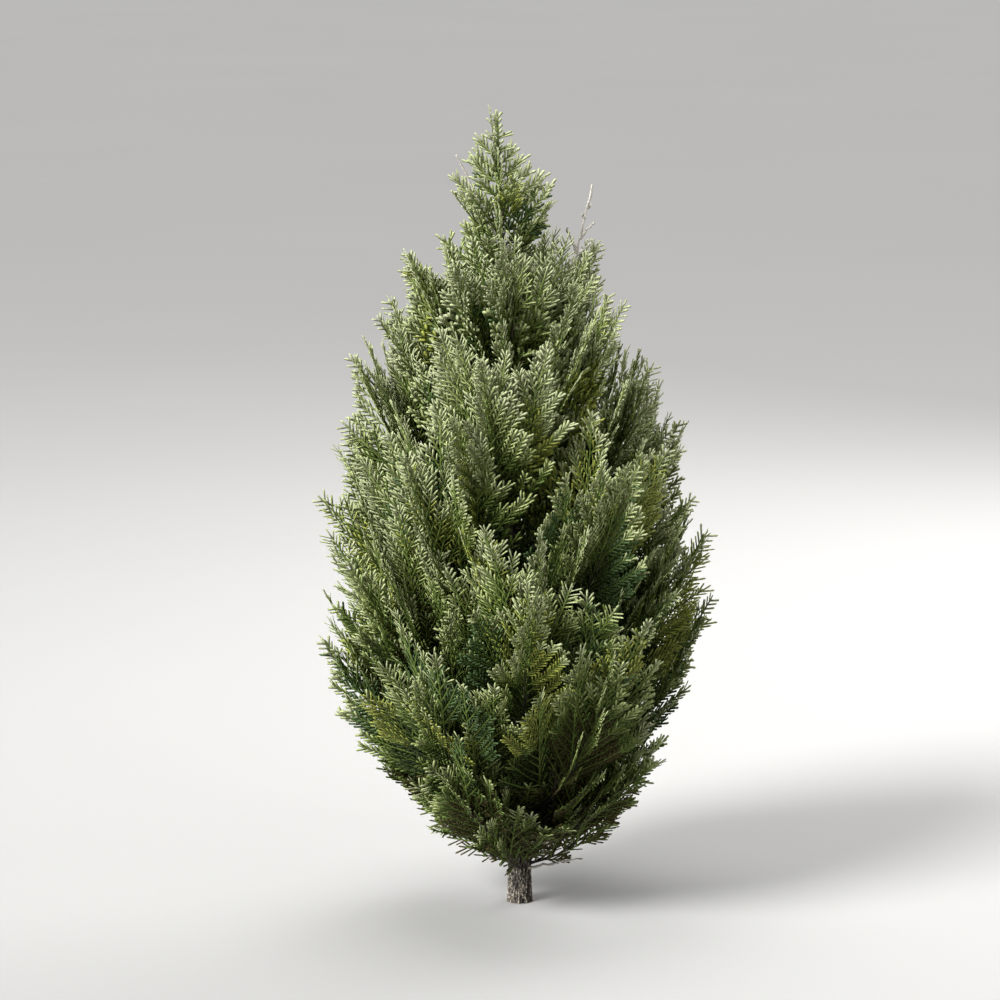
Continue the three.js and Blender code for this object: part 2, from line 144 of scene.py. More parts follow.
# Relief of the bark: how closely ridges stand round a limb, and how fast its patterns change along it
TRUNK_RIDGES = 5.6
LIMB_RIDGES = 1.7
LIMB_FURROWS = 0.16  # depth of the furrows of boughs and stems against their radius
WANDER = 0.5  # how far the furrows wander,
WANDER_ROUND = 0.4  # and how fast, round a limb against its ridges,
WANDER_ALONG = 26  # and along it
COARSE_ALONG = 75
FINE_ROUND = 1.9
FINE_ALONG = 190
FINE_OFFSET = 7
FURROW_EDGE = 3.2  # how steeply the furrows rise to the ridges
RELIEF_FLOOR = 0.1
COARSE_PART = 0.8
FINE_PART = 0.45
RELIEF_MIDDLE = 0.6  # height of the relief that lies on a limb's own radius

# Plumes: flat sprays to either hand of a stem, and two large fans along it
FIRST_PLUME = -0.16  # places of a stem's first and last plumes, as shares of its mass
LAST_PLUME = 0.5
PLUME_LEANS = (math.radians(34), math.radians(18))  # between those two and the stem
PLUME_SHRINK = 0.3
PAIR_TURNS = (0, 90)  # degrees out of the mass's own plane, pair by pair
PLUME_ROLL_SCATTER = 12
TWIG_SHARE = 0.14  # share of a side plume's reach that is its bare twig
UPRIGHTS = (0.6, 1.1)  # how strongly a side plume turns up from its stem, at the ground and at the top,
UPSWEEP = 0.4  # and a branchlet from its rib
PLUME_BOW = 0.07  # most that a plume is bowed along its rib,
PLUME_CURL = 0.22  # and curled across it
SKIRT_TOP = 0.32  # masses whose tips are lower have more plumes,
SKIRT_PLUMES = 4  # by this many
FAN_STARTS = (0.02, 0.10)  # shares of a mass's line where its two large fans begin
FAN_TURN = math.radians(90)  # between the planes of the two fans
FAN_PLANE = 0.5  # share of a mass's line where those planes are measured
GOLDEN_TURN = 137.5  # degrees from one plume to the next round the leader and round the trunk

# Short plumes on the trunk itself, between the boughs
TRUNK_PLUME = 0.17
TRUNK_PLUME_SIZES = (1, 0.7)  # the lowest and the highest against that length
TRUNK_PLUME_TOP = 1.03  # height of the highest
TRUNK_POWER = 1.7  # above 1 crowds them towards the trunk's foot
TRUNK_LEAN = math.radians(40)
COLLAR_LEAN = math.radians(68)  # the lowest of them lean out more
COLLAR_SHARE = 0.12  # share of their heights over which that fades
INNER_FLAME = 0.15  # what stands for their place along a mass

# Where a plume fits
OUTLINE_SLACK = 0.006
SPACE_OVERLAP = 0.08  # how far a plume may reach into its neighbour's space
TIP_RISES = (0.140, -0.055)  # how far a plume may rise above its mass's tip, at the ground and at the top
EDGE_SHARES = (0, 0.35, 0.7)  # places along a plume's edges where its fit is tested
EDGE_REACH = 0.6  # and how far out to those edges; what passes the outline further out is cut short
EDGE_LEAN = math.radians(37)
ROLL_TRIES = (0, 20, -20, 40, -40, 60, -60, 80, -80)
SIZE_TRIES = (1, 0.92, 0.84, 0.76, 0.68, 0.6, 0.5, 0.42)
WIDTH_TRIES = (1, 0.85, 0.7, 0.55, 0.4)

# Where plumes and branchlets are cut short, so that the crown's outline is ragged
RAGGED = (-0.040, 0.004)  # least and most that a plume may pass the outline,
FRINGE = (-0.030, 0.006)  # and what each of its branchlets adds to that
RAGGED_HEIGHT = 0.4  # height above which the outline is as ragged as that,
RAGGED_SHARES = (0.25, 1)  # and shares of it near the ground and there
LEAST_SHARE = 0.01  # of a plume's length, so that none has no length at all
RIB_TESTS = 41  # places where a rib is tested against the outline,
BRANCHLET_TESTS = 15  # and a branchlet

# Branchlets to either hand of a rib; the rib's own end is one more
FIRST_BRANCHLETS = ((0.3, -1), (0.8, 1))  # where the first of a row stands, in steps, and its hand
BRANCHED_SHARE = 0.93  # share of a rib that carries branchlets
BRANCH_LEANS = (50, 36)  # degrees between a rib and its lowest and highest branchlets
BRANCH_SIZES = (0.52, 0.40)  # a branchlet against the rest of its rib, and the longest against the whole rib
BRANCH_SHARES = (0.68, 1.1)  # least and most of that length that a branchlet takes
BRANCH_LEAN_SCATTER = 6
BRANCH_TURNS = (-24, -10)  # degrees by which a branchlet bends towards its rib's own way
BRANCH_TILT = 0.14  # steepest that a branchlet rises out of its plume's face
LEAST_BRANCHLET = 0.6  # shortest branchlet in shoot lengths,
STUMP = 0.3  # and the one below which a cut branchlet is left out
RIB_END = 0.05  # length of the rib's end that carries shoots,
RIB_END_SHARE = 0.4  # and the most of the rib that it takes
RIB_END_TURN = 0.02  # bend of that end in radians; an arc can't be worked out for none

# Twigs, ribs and branchlets: radii at their two ends, points along them and sides round them
TWIG_RADII = (0.0017, 0.0013)
TWIG_POINTS = 3
TWIG_SIDES = 5
RIB_RADII = (0.0015, 0.0008)
RIB_POINTS = 4
RIB_SIDES = 4
RIB_SHOWN = 0.97  # share of a rib that is built; its end shoot covers the rest
BRANCHLET_RADII = (0.0016, 0.0012)
BRANCHLET_POINTS = 3
BRANCHLET_SIDES = 3
BRANCHLET_SHOWN = 0.94

# Shoots of scale leaves to either hand of a branchlet, and one at its end
FIRST_SHOOTS = ((0.7, -1), (1.2, 1))  # where the first of a row stands, in steps, and its hand
LAST_SHOOT = 0.006  # least length from a row's last to the branchlet's end
SHOOT_SIZES = (0.82, 1.0)  # lengths at a branchlet's foot and end against the usual length,
SIZE_SCATTER = (0.8, 1.15)  # and how far they vary
END_SIZE = 1.25  # the same for the shoot at the end,
END_BACK = 0.8  # and how far before the branchlet's end it starts, in shoot lengths
SHOOT_GIRTHS = (0.82, 1.12)
GIRTH_SCATTER = (0.85, 1.15)
FINENESS = (0.86, 1.16)  # how much longer and narrower the shoots of one whole plume are
SHOOT_LEANS = (44, 35)  # degrees between a branchlet and its lowest and highest shoots
SHOOT_LEAN_SCATTER = 4
SHOOT_RISE = 0.07  # steepest that a shoot rises out of its branchlet's own face
SHOOT_ROLL = 8
SHOOT_RINGS = ((0.0, 0.4), (0.88, 0.5))  # places along a shoot, and its half width there against its width
INNER_DEPTH = 0.56  # share of the crown's radius inside which only every other shoot is grown,
INNER_GIRTH = 1.6  # how much stouter that one is,
INNER_TOP = 0.92  # and the height above which all are grown

# What is different on the leader
LEADER_PLUME = 0.130
LEADER_SHRINK = 0.6
LEADER_LEAN = 1.4  # how much more its plumes lean out
LEADER_STEP = 0.9  # how far apart its branchlets are against the others
LEADER_LEANS = (66, 52)
LEADER_SIZES = (0.58, 0.36)
LEADER_SHARES = (0.4, 1.1)
LEADER_CLOTHED = 0.75  # share of its ribs that carries shoots itself,
CLOTHING_SIZE = 0.6  # and how long those are against the others
LEADER_GIRTH = 1.25  # how much stouter its shoots are

# How much paler a shoot is at the far end of what it stands on, and how far that varies; the place along a
# mass, the depth in the crown and the height paint light and shade into that
PALE_BRANCHLET = 1.1
PALE_RIB = 0.95
# painted shade: shoots darker towards each mass's root and deeper inside the crown
PAINTED_SHADE_ALONG_MASS = 0.7
PAINTED_SHADE_BY_DEPTH = 0.35
# painted light and shade: shoots paler towards the top, where the light falls, and darker towards the ground
PAINTED_LIGHT_BY_HEIGHT = 2.0
PALE_SCATTER = 0.06
PALE_PLUME_SCATTER = 0.24

# The greens' finishes, and who gets which: shoots are ranked from the darkest, 0, to the palest, 1, and each
# plume is of a kind, a number from 0 to 1
GREEN_SLOTS = {
    "deep": "foliage_deep",
    "mid": "foliage_deep",
    "sage": "foliage_sage",
    "pale": "foliage_pale",
    "cream": "foliage_pale",
    "gold": "foliage_sage",
    "blue": "foliage_deep",
    "brown": "foliage_deep",
}
PLAIN_GREENS = ("deep", "mid", "sage", "pale", "cream")
PLAIN_RANKS = (0.30, 0.52, 0.71, 0.88)  # where one plain green ends and the next begins
HEART_RANK = 0.74  # the hearts of plumes are the shoots below this rank,
HEART_HEIGHT = 0.26  # and above this height
GOLD_KIND = 0.17  # plumes of a kind below this have golden hearts,
GOLD_RANK = 0.16  # in shoots above this rank
BLUE_KIND = 0.80  # plumes of a kind above this have bluish ones,
BLUE_RANK = 0.12  # in shoots above this rank
BROWN_RANK = 0.30  # shoots below this rank are brown
BROWN_KINDS = (0.4, 0.6)  # in plumes of the kinds between these,
BROWN_HEIGHT = 0.20  # and in all plumes below this height
FRESH_FROM = 1.45  # branchlets are fresh green where their depth and share of the height add up to more

# Bare dry shoots: one at the upper right, a thin one beside the leader, and snags round the trunk's foot
DRY_MASS = 30  # counted from the lowest mass, the first being 0
DRY_STATION = 0.45
DRY_RISE = 0.246
DRY_OUT = 0.060
DRY_RADIUS = 0.0031
DRY_TWIG_RADIUS = 0.0019
DRY_TIP_RADIUS = 0.0014
DRY_POINTS = 16
DRY_WANDER = 0.0009
DRY_STILL = 0.25  # share of a dry shoot over which its wandering sets in
DRY_KNOTS = (0.7, 1.6)  # least and most by which a knot is thinner or thicker than its place
DRY_SEED = 9
DryTwig = namedtuple("DryTwig", "share degrees length")
DRY_TWIGS = (
    DryTwig(0.58, 40, 0.030),
    DryTwig(0.6, -36, 0.040),
    DryTwig(0.68, 28, 0.032),
    DryTwig(0.8, -34, 0.010),
    DryTwig(0.86, 30, 0.008),
)
LEADER_TWIG_FOOT = 0.985
LEADER_TWIG_TIP = (-0.093, -0.016, 1.130)
SNAGS = 9
SNAG_HEIGHTS = (0.048, 0.105)
SNAG_TURN = -35
SNAG_RISE = 0.32
SNAG_LENGTHS = (0.05, 0.12)

# Finishes: noise in waves to a metre; ramps as places with a colour, or with how light a colour is there;
# bumps as strength and depth
LEAF_NOISE = 330
LEAF_SHADES = ((0.3, 0.62), (0.52, 1), (0.7, 1.3))
LEAF_ROUGHNESS = ((0.3, 0.62), (0.7, 0.46))
LEAF_SPECULAR = 0.15
LEAF_BUMP = (0.35, 0.0006)
DRIFT_NOISE = 11
DRIFT_COLOURS = ((0.3, (0.82, 0.86, 0.78)), (0.7, WHITE))
RELIEF_STOPS = (0.25, 0.55, 0.9)  # relief of the furrows, of the ridges' flanks and of their crests
FLANK_LIGHT = 0.45  # how light a ridge's flank is against its crest
FIBRE_NOISE = 900
FIBRE_STRETCH = (1, 1, 0.12)
FIBRE_COLOURS = ((0.3, (0.55, 0.52, 0.5)), (0.7, WHITE))
PLATE_NOISE = 330
PLATE_STRETCH = (1, 1, 0.5)
CRACK_COLOURS = ((0.05, (0.16, 0.14, 0.12)), (0.28, WHITE))
CROWN_PAINTED_SHADE = ((0.07, WHITE), (0.16, (0.30, 0.30, 0.25)))  # by height: painted shade, bark darker inside the crown where the foliage shades it
BARK_ROUGHNESS = 0.9
BARK_BUMP = (0.5, 0.0008)
BOUGH_PAINTED_SHADE = 0.45  # how light the boughs' ridges are against the trunk's: painted shade, as boughs and stems stand in the crown's shade
TWIG_NOISE = 420
TWIG_SHADES = ((0.3, 0.6), (0.55, 1), (0.75, 1.35))
TWIG_ROUGHNESS = 0.8
TWIG_BUMP = (0.4, 0.0005)
FLOOR_NOISE = 0.8
FLOOR_SHADES = ((0.2, 0.97), (0.8, 1))
FLOOR_ROUGHNESS = 0.85

# Stage: what the camera and the lights turn to, and where each light stands
AIM = Vector((-0.030, 0, 0.615))
KEY_PLACE = Vector((-2.35, -1.8, 2.9))
KEY_SPREAD = math.radians(24)  # angle over which the key light comes, so that its shadow is soft
FILL_PLACE = Vector((2.2, -2.2, 4.2))
TOP_PLACE = Vector((-0.4, 1.0, 4.4))
BACK_PLACE = Vector((2.0, 2.6, 2.4))
LAMP_SIZE = 2.4
SKY_COLOUR = (1, 0.98, 0.95, 1)

# A plume's foot is where its twig leaves the stem, and a large fan has none; clothing marks the ends of the
# leader's ribs, whose shoots are shorter
Plume = namedtuple(
    "Plume", "mass root ahead across length width sag foot ragged bow curl", defaults=(None, False, 0, 0)
)
Branchlets = namedtuple("Branchlets", "start hand reach lean turn tilt clothing")
Shoots = namedtuple("Shoots", "base way across length girth tint")


def lerp(low, high, share):
    """A value between two others"""
    return low + (high - low) * share


def unit(vectors):
    """Vectors at length one"""
    return vectors / np.linalg.norm(vectors, axis=-1, keepdims=True)


def seeded(seed):
    """A repeatable stream of numbers from 0 to 1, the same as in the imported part's rule"""
    state = seed % STREAM_SIZE
    while True:
        state = (state * STREAM_FACTOR + STREAM_STEP) % STREAM_SIZE
        yield state / STREAM_SIZE


def spread(stream, size):
    """The next number of a stream as one from -size to size"""
    return (2 * next(stream) - 1) * size


def crown_radius(z):
    """Outline of the crown: its radius at a height"""
    share = np.clip((z - CROWN_FOOT) / (HEIGHT - CROWN_FOOT), 0, 1)
    power = CROWN_BULGE / (1 - CROWN_BULGE)
    peak = CROWN_BULGE**power * (1 - CROWN_BULGE)
    return CROWN_RADIUS * share**power * (1 - share) / peak


def trunk_point(z):
    """The trunk's line at a height"""
    z = np.asarray(z, float)
    x = LEAN * (z / HEIGHT) ** LEAN_POWER
    y = SWAY * np.sin(np.pi * z / TRUNK_TOP)
    return np.stack([x, y, z], axis=-1)


def trunk_radius(z):
    """The trunk's radius at a height"""
    return lerp(TRUNK_RADIUS, TRUNK_TIP_RADIUS, z / TRUNK_TOP) + ROOT_FLARE * np.exp(-z / FLARE_FALL)


class Line:
    """The curve that a bough and its mass follow, from the trunk's line to the mass's tip"""

    def __init__(self, root, bend, tip, side, start, twist, stream):
        """Start is the share that is bare bough; foot is the share where the mass begins"""
        self.root, self.bend, self.tip = root, bend, tip
        self.side, self.start, self.twist, self.stream = side, start, twist, stream
        self.foot = max(start, MASS_FROM)
        steps = self.point(np.linspace(0, 1, LENGTH_POINTS))
        self.length = np.linalg.norm(np.diff(steps, axis=0), axis=1).sum()

    def point(self, share):
        """The place at a share of the curve"""
        s = np.asarray(share, float)[..., None]
        return (1 - s) ** 2 * self.root + 2 * (1 - s) * s * self.bend + s**2 * self.tip

    def directions(self, share):
        """Directions at a share of the curve: along it, level to its side, and up from it"""
        ahead = unit((1 - share) * (self.bend - self.root) + share * (self.tip - self.bend))
        side = unit(self.side - ahead * (self.side @ ahead))
        return ahead, side, np.cross(ahead, side)


def bough_line(tier, index):
    """The line of one bough of a tier"""
    stream = seeded(SEED + SEED_STEP * (SEEDS_A_TIER * TIERS.index(tier) + index))
    azimuth = math.radians(tier.first + 360 / tier.count * index + spread(stream, AZIMUTH_SCATTER))
    out = np.array([math.cos(azimuth), math.sin(azimuth), 0])
    tip_height = tier.tip + spread(stream, TIP_SCATTER)
    height = (tier.tip - LOWEST_TIP) / (HIGHEST_TIP - LOWEST_TIP)
    root_height = lerp(LOWEST_ROOT, HIGHEST_ROOT, height**ROOT_POWER) + spread(stream, ROOT_SCATTER)
    reach = crown_radius(tip_height) * (1 - REACH_SCATTER * next(stream))
    root = trunk_point(root_height)
    bend = root + out * reach * BEND_OUT
    bend[2] = lerp(root_height, tip_height, BEND_UP)
    tip = trunk_point(tip_height) + out * reach
    side = np.array([-out[1], out[0], 0])
    start = BOUGH_SHARE if tier.bough else 0
    twist = math.radians(tier.twist + spread(stream, tier.twist_scatter))
    return Line(root, bend, tip, side, start, twist, stream)


@functools.cache
def all_lines():
    """The lines of all masses, from the skirt up, with the leader's as the last"""
    lines = [bough_line(tier, index) for tier in TIERS for index in range(tier.count)]
    lines.append(straight_line(trunk_point(TRUNK_TOP), trunk_point(HEIGHT)))
    return lines


def straight_line(foot, tip):
    """An upright line such as the leader's"""
    return Line(foot, (foot + tip) / 2, tip, np.array([0.0, 1, 0]), 0, 0, seeded(SEED))


@functools.cache
def mass_paths():
    """Starts and steps of the straight pieces that stand for each mass's line where distances are measured"""
    paths = []
    for line in all_lines():
        paths.append(line.point(np.linspace(line.foot, 1, PATH_STEPS + 1)))
    paths = np.array(paths)
    return paths[:, :-1].reshape(-1, 3), np.diff(paths, axis=1).reshape(-1, 3)


def path_distances(points):
    """How far each point is from each mass's line"""
    starts, steps = mass_paths()
    offset = points[:, None] - starts
    share = np.clip((offset * steps).sum(2) / (steps * steps).sum(1), 0, 1)
    distance = np.linalg.norm(offset - share[..., None] * steps, axis=2)
    return distance.reshape(len(points), -1, PATH_STEPS).min(2)


def in_crown(points, slack):
    """Which points lie inside the crown's outline and outside the trunk; slack is square to the outline"""
    z = points[:, 2]
    slope = (crown_radius(z + SLOPE_STEP) - crown_radius(z - SLOPE_STEP)) / (2 * SLOPE_STEP)
    middle = trunk_point(np.clip(z, 0, HEIGHT))
    radius = np.hypot(points[:, 0] - middle[:, 0], points[:, 1] - middle[:, 1])
    inside = (z >= CROWN_FOOT) & (z <= HEIGHT) & (radius <= crown_radius(z) + slack * np.hypot(1, slope))
    return inside & ((z > TRUNK_TOP) | (radius > trunk_radius(z)))


def crown_depth(points):
    """How far out each point is: 0 at the trunk's line and 1 at the crown's outline"""
    z = points[:, 2].clip(0, HEIGHT)
    middle = trunk_point(z)
    out = np.hypot(points[:, 0] - middle[:, 0], points[:, 1] - middle[:, 1])
    return (out / np.maximum(crown_radius(z), LEAST_RADIUS)).clip(0, MOST_DEPTH)


def flame_place(mass, points):
    """How far along its mass's flame each point is: 0 at the mass's root and 1 at its tip"""
    if mass is None:
        return np.full(len(points), INNER_FLAME)
    line = all_lines()[mass]
    foot = line.point(line.start)
    chord = line.tip - foot
    return ((points - foot) @ chord / (chord @ chord)).clip(0, MOST_FLAME)


def is_leader(mass):
    """Whether a mass, given by its number, is the leader"""
    return mass == len(all_lines()) - 1


# Plumes


def branch_reach(plume, x):
    """Length of a plume's branchlets by their place on its rib"""
    share, most = LEADER_SIZES if is_leader(plume.mass) else BRANCH_SIZES
    return plume.width * np.minimum(share * (plume.length - x), most * plume.length)


def sagged(plume, x):
    """How far a plume's rib stands off its straight chord"""
    share = np.clip(x / plume.length, 0, 1)
    return (4 * share * (1 - share))[..., None] * plume.sag


def bent(plume, x, y, lift):
    """Places on a plume's gently bowed, curled and upswept face, from its own flat coordinates"""
    normal = np.cross(plume.ahead, plume.across)
    height = lift + plume.bow * x**2 / plume.length + plume.curl * y**2 / plume.length
    flat = x[..., None] * plume.ahead + y[..., None] * plume.across
    swept = (0 if is_leader(plume.mass) else UPSWEEP) * np.abs(y)[..., None] * UP
    return plume.root + flat + swept + height[..., None] * normal + sagged(plume, x)


def rib_points(plume, x):
    """Places on a plume's rib"""
    return bent(plume, x, 0 * x, 0 * x)


def plume_fits(plume):
    """Whether a plume's rib and outer edges lie in the crown and, if it has a mass, in that mass's space"""
    roots = plume.length * np.array(EDGE_SHARES)
    reach = branch_reach(plume, roots) * EDGE_REACH
    along = np.tile(roots + reach * math.cos(EDGE_LEAN), 2)
    beside = np.concatenate([reach, -reach]) * math.sin(EDGE_LEAN)
    along = np.append(along, [plume.length, plume.length / 2])
    beside = np.append(beside, [0, 0])
    points = bent(plume, along, beside, 0 * along)
    if not in_crown(points, OUTLINE_SLACK).all():
        return False
    if plume.mass is None:
        return True
    tip = all_lines()[plume.mass].tip[2]
    if points[:, 2].max() > tip + lerp(*TIP_RISES, (tip / HEIGHT) ** 2):
        return False
    distances = path_distances(points)
    own = distances[:, plume.mass].copy()
    distances[:, plume.mass] = np.inf
    return bool((own < distances.min(1) + SPACE_OVERLAP).all())


def side_plume(mass, line, along, roll, lean, length, facing=False):
    """The largest plume that fits at a place on a stem, in a plane with the stem or facing it, or none"""
    ahead, side, up = line.directions(along)
    root = line.point(along)
    for size in SIZE_TRIES:
        for turn in ROLL_TRIES:
            angle = roll + math.radians(turn)
            outward = side * math.sin(angle) + up * math.cos(angle)
            way = ahead * math.cos(lean) + outward * math.sin(lean)
            if facing:
                across = unit(np.cross(way, ahead))
            else:
                upright = 0 if is_leader(mass) else lerp(*UPRIGHTS, root[2] / HEIGHT)
                way = unit(way + upright * UP)
                across = unit(outward - way * (outward @ way))
            base = root + way * length * size * TWIG_SHARE
            rib = length * size * (1 - TWIG_SHARE)
            plume = Plume(mass, base, way, across, rib, 1, np.zeros(3), foot=root, ragged=not facing)
            if plume_fits(plume):
                return plume
    return None


def large_fan(mass, start, turned):
    """A fan that follows a mass's line to its tip, in a plane turned about it: the widest that fits"""
    line = all_lines()[mass]
    _, side, up = line.directions(FAN_PLANE)
    plane = line.twist + turned
    spread_way = up * math.cos(plane) + side * math.sin(plane)
    from_share = lerp(line.start, 1, start)
    base = line.point(from_share)
    length = np.linalg.norm(line.tip - base)
    way = (line.tip - base) / length
    sag = line.point((from_share + 1) / 2) - (base + line.tip) / 2
    level = unit(spread_way - way * (spread_way @ way))
    if is_leader(mass):
        return Plume(mass, base, way, level, length, 1, sag)
    for width in WIDTH_TRIES:
        for turn in ROLL_TRIES:
            angle = math.radians(turn)
            across = level * math.cos(angle) + np.cross(way, level) * math.sin(angle)
            plume = Plume(mass, base, way, across, length, width, sag)
            if plume_fits(plume):
                return plume
    return Plume(mass, base, way, level, length, WIDTH_TRIES[-1], sag)


def side_plumes(mass, settings):
    """The plumes along a mass's stem, in pairs to either hand, or in a spiral round the leader"""
    line = all_lines()[mass]
    leader = is_leader(mass)
    count = settings.leader_plumes if leader else settings.plumes
    if line.tip[2] < SKIRT_TOP:
        count += SKIRT_PLUMES
    plumes = []
    for k in range(count):
        station = lerp(FIRST_PLUME, LAST_PLUME, k / (count - 1))
        lean = lerp(*PLUME_LEANS, k / (count - 1))
        if leader:
            lean *= LEADER_LEAN
            along = station
            roll = math.radians(GOLDEN_TURN * k)
            length = LEADER_PLUME * (1 - LEADER_SHRINK * station)
        else:
            lean *= 1 if k % 2 else -1
            along = max(0, lerp(line.foot, 1, station))
            turn = PAIR_TURNS[k // 2 % len(PAIR_TURNS)] + spread(line.stream, PLUME_ROLL_SCATTER)
            roll = line.twist + math.radians(turn)
            length = line.length * (1 - line.start) * (1 - PLUME_SHRINK * station)
        plumes.append(side_plume(mass, line, along, roll, lean, length))
    return [plume for plume in plumes if plume]


def trunk_plumes(settings):
    """The short plumes in a spiral round the trunk itself"""
    plumes = []
    for k in range(settings.trunk_plumes):
        share = ((k + 0.5) / settings.trunk_plumes) ** TRUNK_POWER
        foot = lerp(LOWEST_ROOT, TRUNK_PLUME_TOP, share)
        line = straight_line(trunk_point(foot), trunk_point(foot + TRUNK_PLUME))
        roll = math.radians(GOLDEN_TURN * k)
        lean = lerp(COLLAR_LEAN, TRUNK_LEAN, min(1, share / COLLAR_SHARE))
        length = TRUNK_PLUME * lerp(*TRUNK_PLUME_SIZES, share)
        plumes.append(side_plume(None, line, 0, roll, lean, length, facing=True))
    return [plume for plume in plumes if plume]


@functools.cache
def all_plumes():
    """Every plume of the crown, found once in a run"""
    settings = bpy.context.scene.shrub_sprays
    plumes = []
    for mass in range(len(all_lines())):
        plumes += side_plumes(mass, settings)
        plumes += [large_fan(mass, start, k * FAN_TURN) for k, start in enumerate(FAN_STARTS)]
    return plumes + trunk_plumes(settings)


# Branchlets and shoots


def kept_share(rows, slack):
    """Share of each row of points, from its start, that lies inside the crown"""
    count, steps, _ = rows.shape
    inside = in_crown(rows.reshape(-1, 3), np.repeat(slack, steps)).reshape(count, steps)
    inside[:, 0] = True
    return (np.logical_and.accumulate(inside, axis=1).sum(1) - 1) / (steps - 1)


def cut_plume(plume, slack):
    """A plume made as much shorter as the outline asks, so that its tip stays pointed"""
    rib = rib_points(plume, np.linspace(0, plume.length, RIB_TESTS))
    share = max(kept_share(rib[None], slack)[0], LEAST_SHARE)
    return plume._replace(length=plume.length * share, sag=plume.sag * share**2)


def on_branchlets(branchlets, which, share):
    """Flat coordinates, lift and heading at a share of the branchlets named"""
    start, hand, reach, lean, turn, tilt, _ = (column[which] for column in branchlets)
    heading = lean + turn * share
    x = start + reach * (np.sin(heading) - np.sin(lean)) / turn
    y = hand * reach * (np.cos(lean) - np.cos(heading)) / turn
    return x, y, tilt * reach * share, hand * heading


def branchlet_rows(plume, branchlets, shares):
    """Places on all of a plume's branchlets at the shares given, a row for each"""
    which = np.arange(len(branchlets.reach))[:, None]
    x, y, lift, _ = on_branchlets(branchlets, which, shares[None])
    return bent(plume, x, y, lift)


def grow_branchlets(plume, slack, ragged, dice, settings):
    """The branchlets of a plume, cut where they meet the crown's outline, with the rib's end as the last"""
    leader = is_leader(plume.mass)
    length, step = plume.length, settings.branchlet_step
    leans, shares = BRANCH_LEANS, BRANCH_SHARES
    if leader:
        step *= LEADER_STEP
        leans, shares = LEADER_LEANS, LEADER_SHARES
    rows = []
    for first, hand in FIRST_BRANCHLETS:
        rows += [(x, hand) for x in np.arange(first * step, BRANCHED_SHARE * length, step)]
    start, hand = np.array(rows).reshape(-1, 2).T
    count = len(start)
    reach = branch_reach(plume, start) * dice.uniform(*shares, count)
    reach = np.maximum(reach, settings.shoot_length * LEAST_BRANCHLET)
    scatter = dice.uniform(-BRANCH_LEAN_SCATTER, BRANCH_LEAN_SCATTER, count)
    lean = np.radians(lerp(*leans, start / length) + scatter)
    turn = np.radians(dice.uniform(*BRANCH_TURNS, count))
    tilt = dice.uniform(-BRANCH_TILT, BRANCH_TILT, count)
    fringe = slack + dice.uniform(*FRINGE, count) * ragged
    fringe = np.append(fringe, max(slack, OUTLINE_SLACK))
    beside = Branchlets(start, hand, reach, lean, turn, tilt, np.zeros(count, bool))
    end = length * LEADER_CLOTHED if leader else min(RIB_END, RIB_END_SHARE * length)
    rib_end = Branchlets(length - end, 1, end, 0, RIB_END_TURN, 0, leader)
    branchlets = Branchlets(*(np.append(*columns) for columns in zip(beside, rib_end)))
    kept = kept_share(branchlet_rows(plume, branchlets, np.linspace(0, 1, BRANCHLET_TESTS)), fringe)
    branchlets = branchlets._replace(reach=branchlets.reach * kept, turn=branchlets.turn * kept)
    grown = branchlets.reach > settings.shoot_length * STUMP
    return Branchlets(*(column[grown] for column in branchlets))


def shoot_places(branchlets, settings):
    """Each shoot's branchlet, its share along that, its hand or 0, and whether it also grows deep inside"""
    owner, place, hand, always = [], [], [], []
    for number, reach in enumerate(branchlets.reach):
        for first, side in FIRST_SHOOTS:
            stops = np.arange(first * settings.shoot_step, reach - LAST_SHOOT, settings.shoot_step)
            owner += [number] * len(stops)
            place += list(stops / reach)
            hand += [side] * len(stops)
            always += list(np.arange(len(stops)) % 2 == 0)
    count = len(branchlets.reach)
    ends = np.maximum(0, 1 - settings.shoot_length * END_BACK / branchlets.reach)
    owner = np.append(owner, np.arange(count)).astype(int)
    place = np.append(place, ends)
    hand = np.append(hand, np.zeros(count))
    always = np.append(always, np.ones(count)).astype(bool)
    return owner, place, hand, always


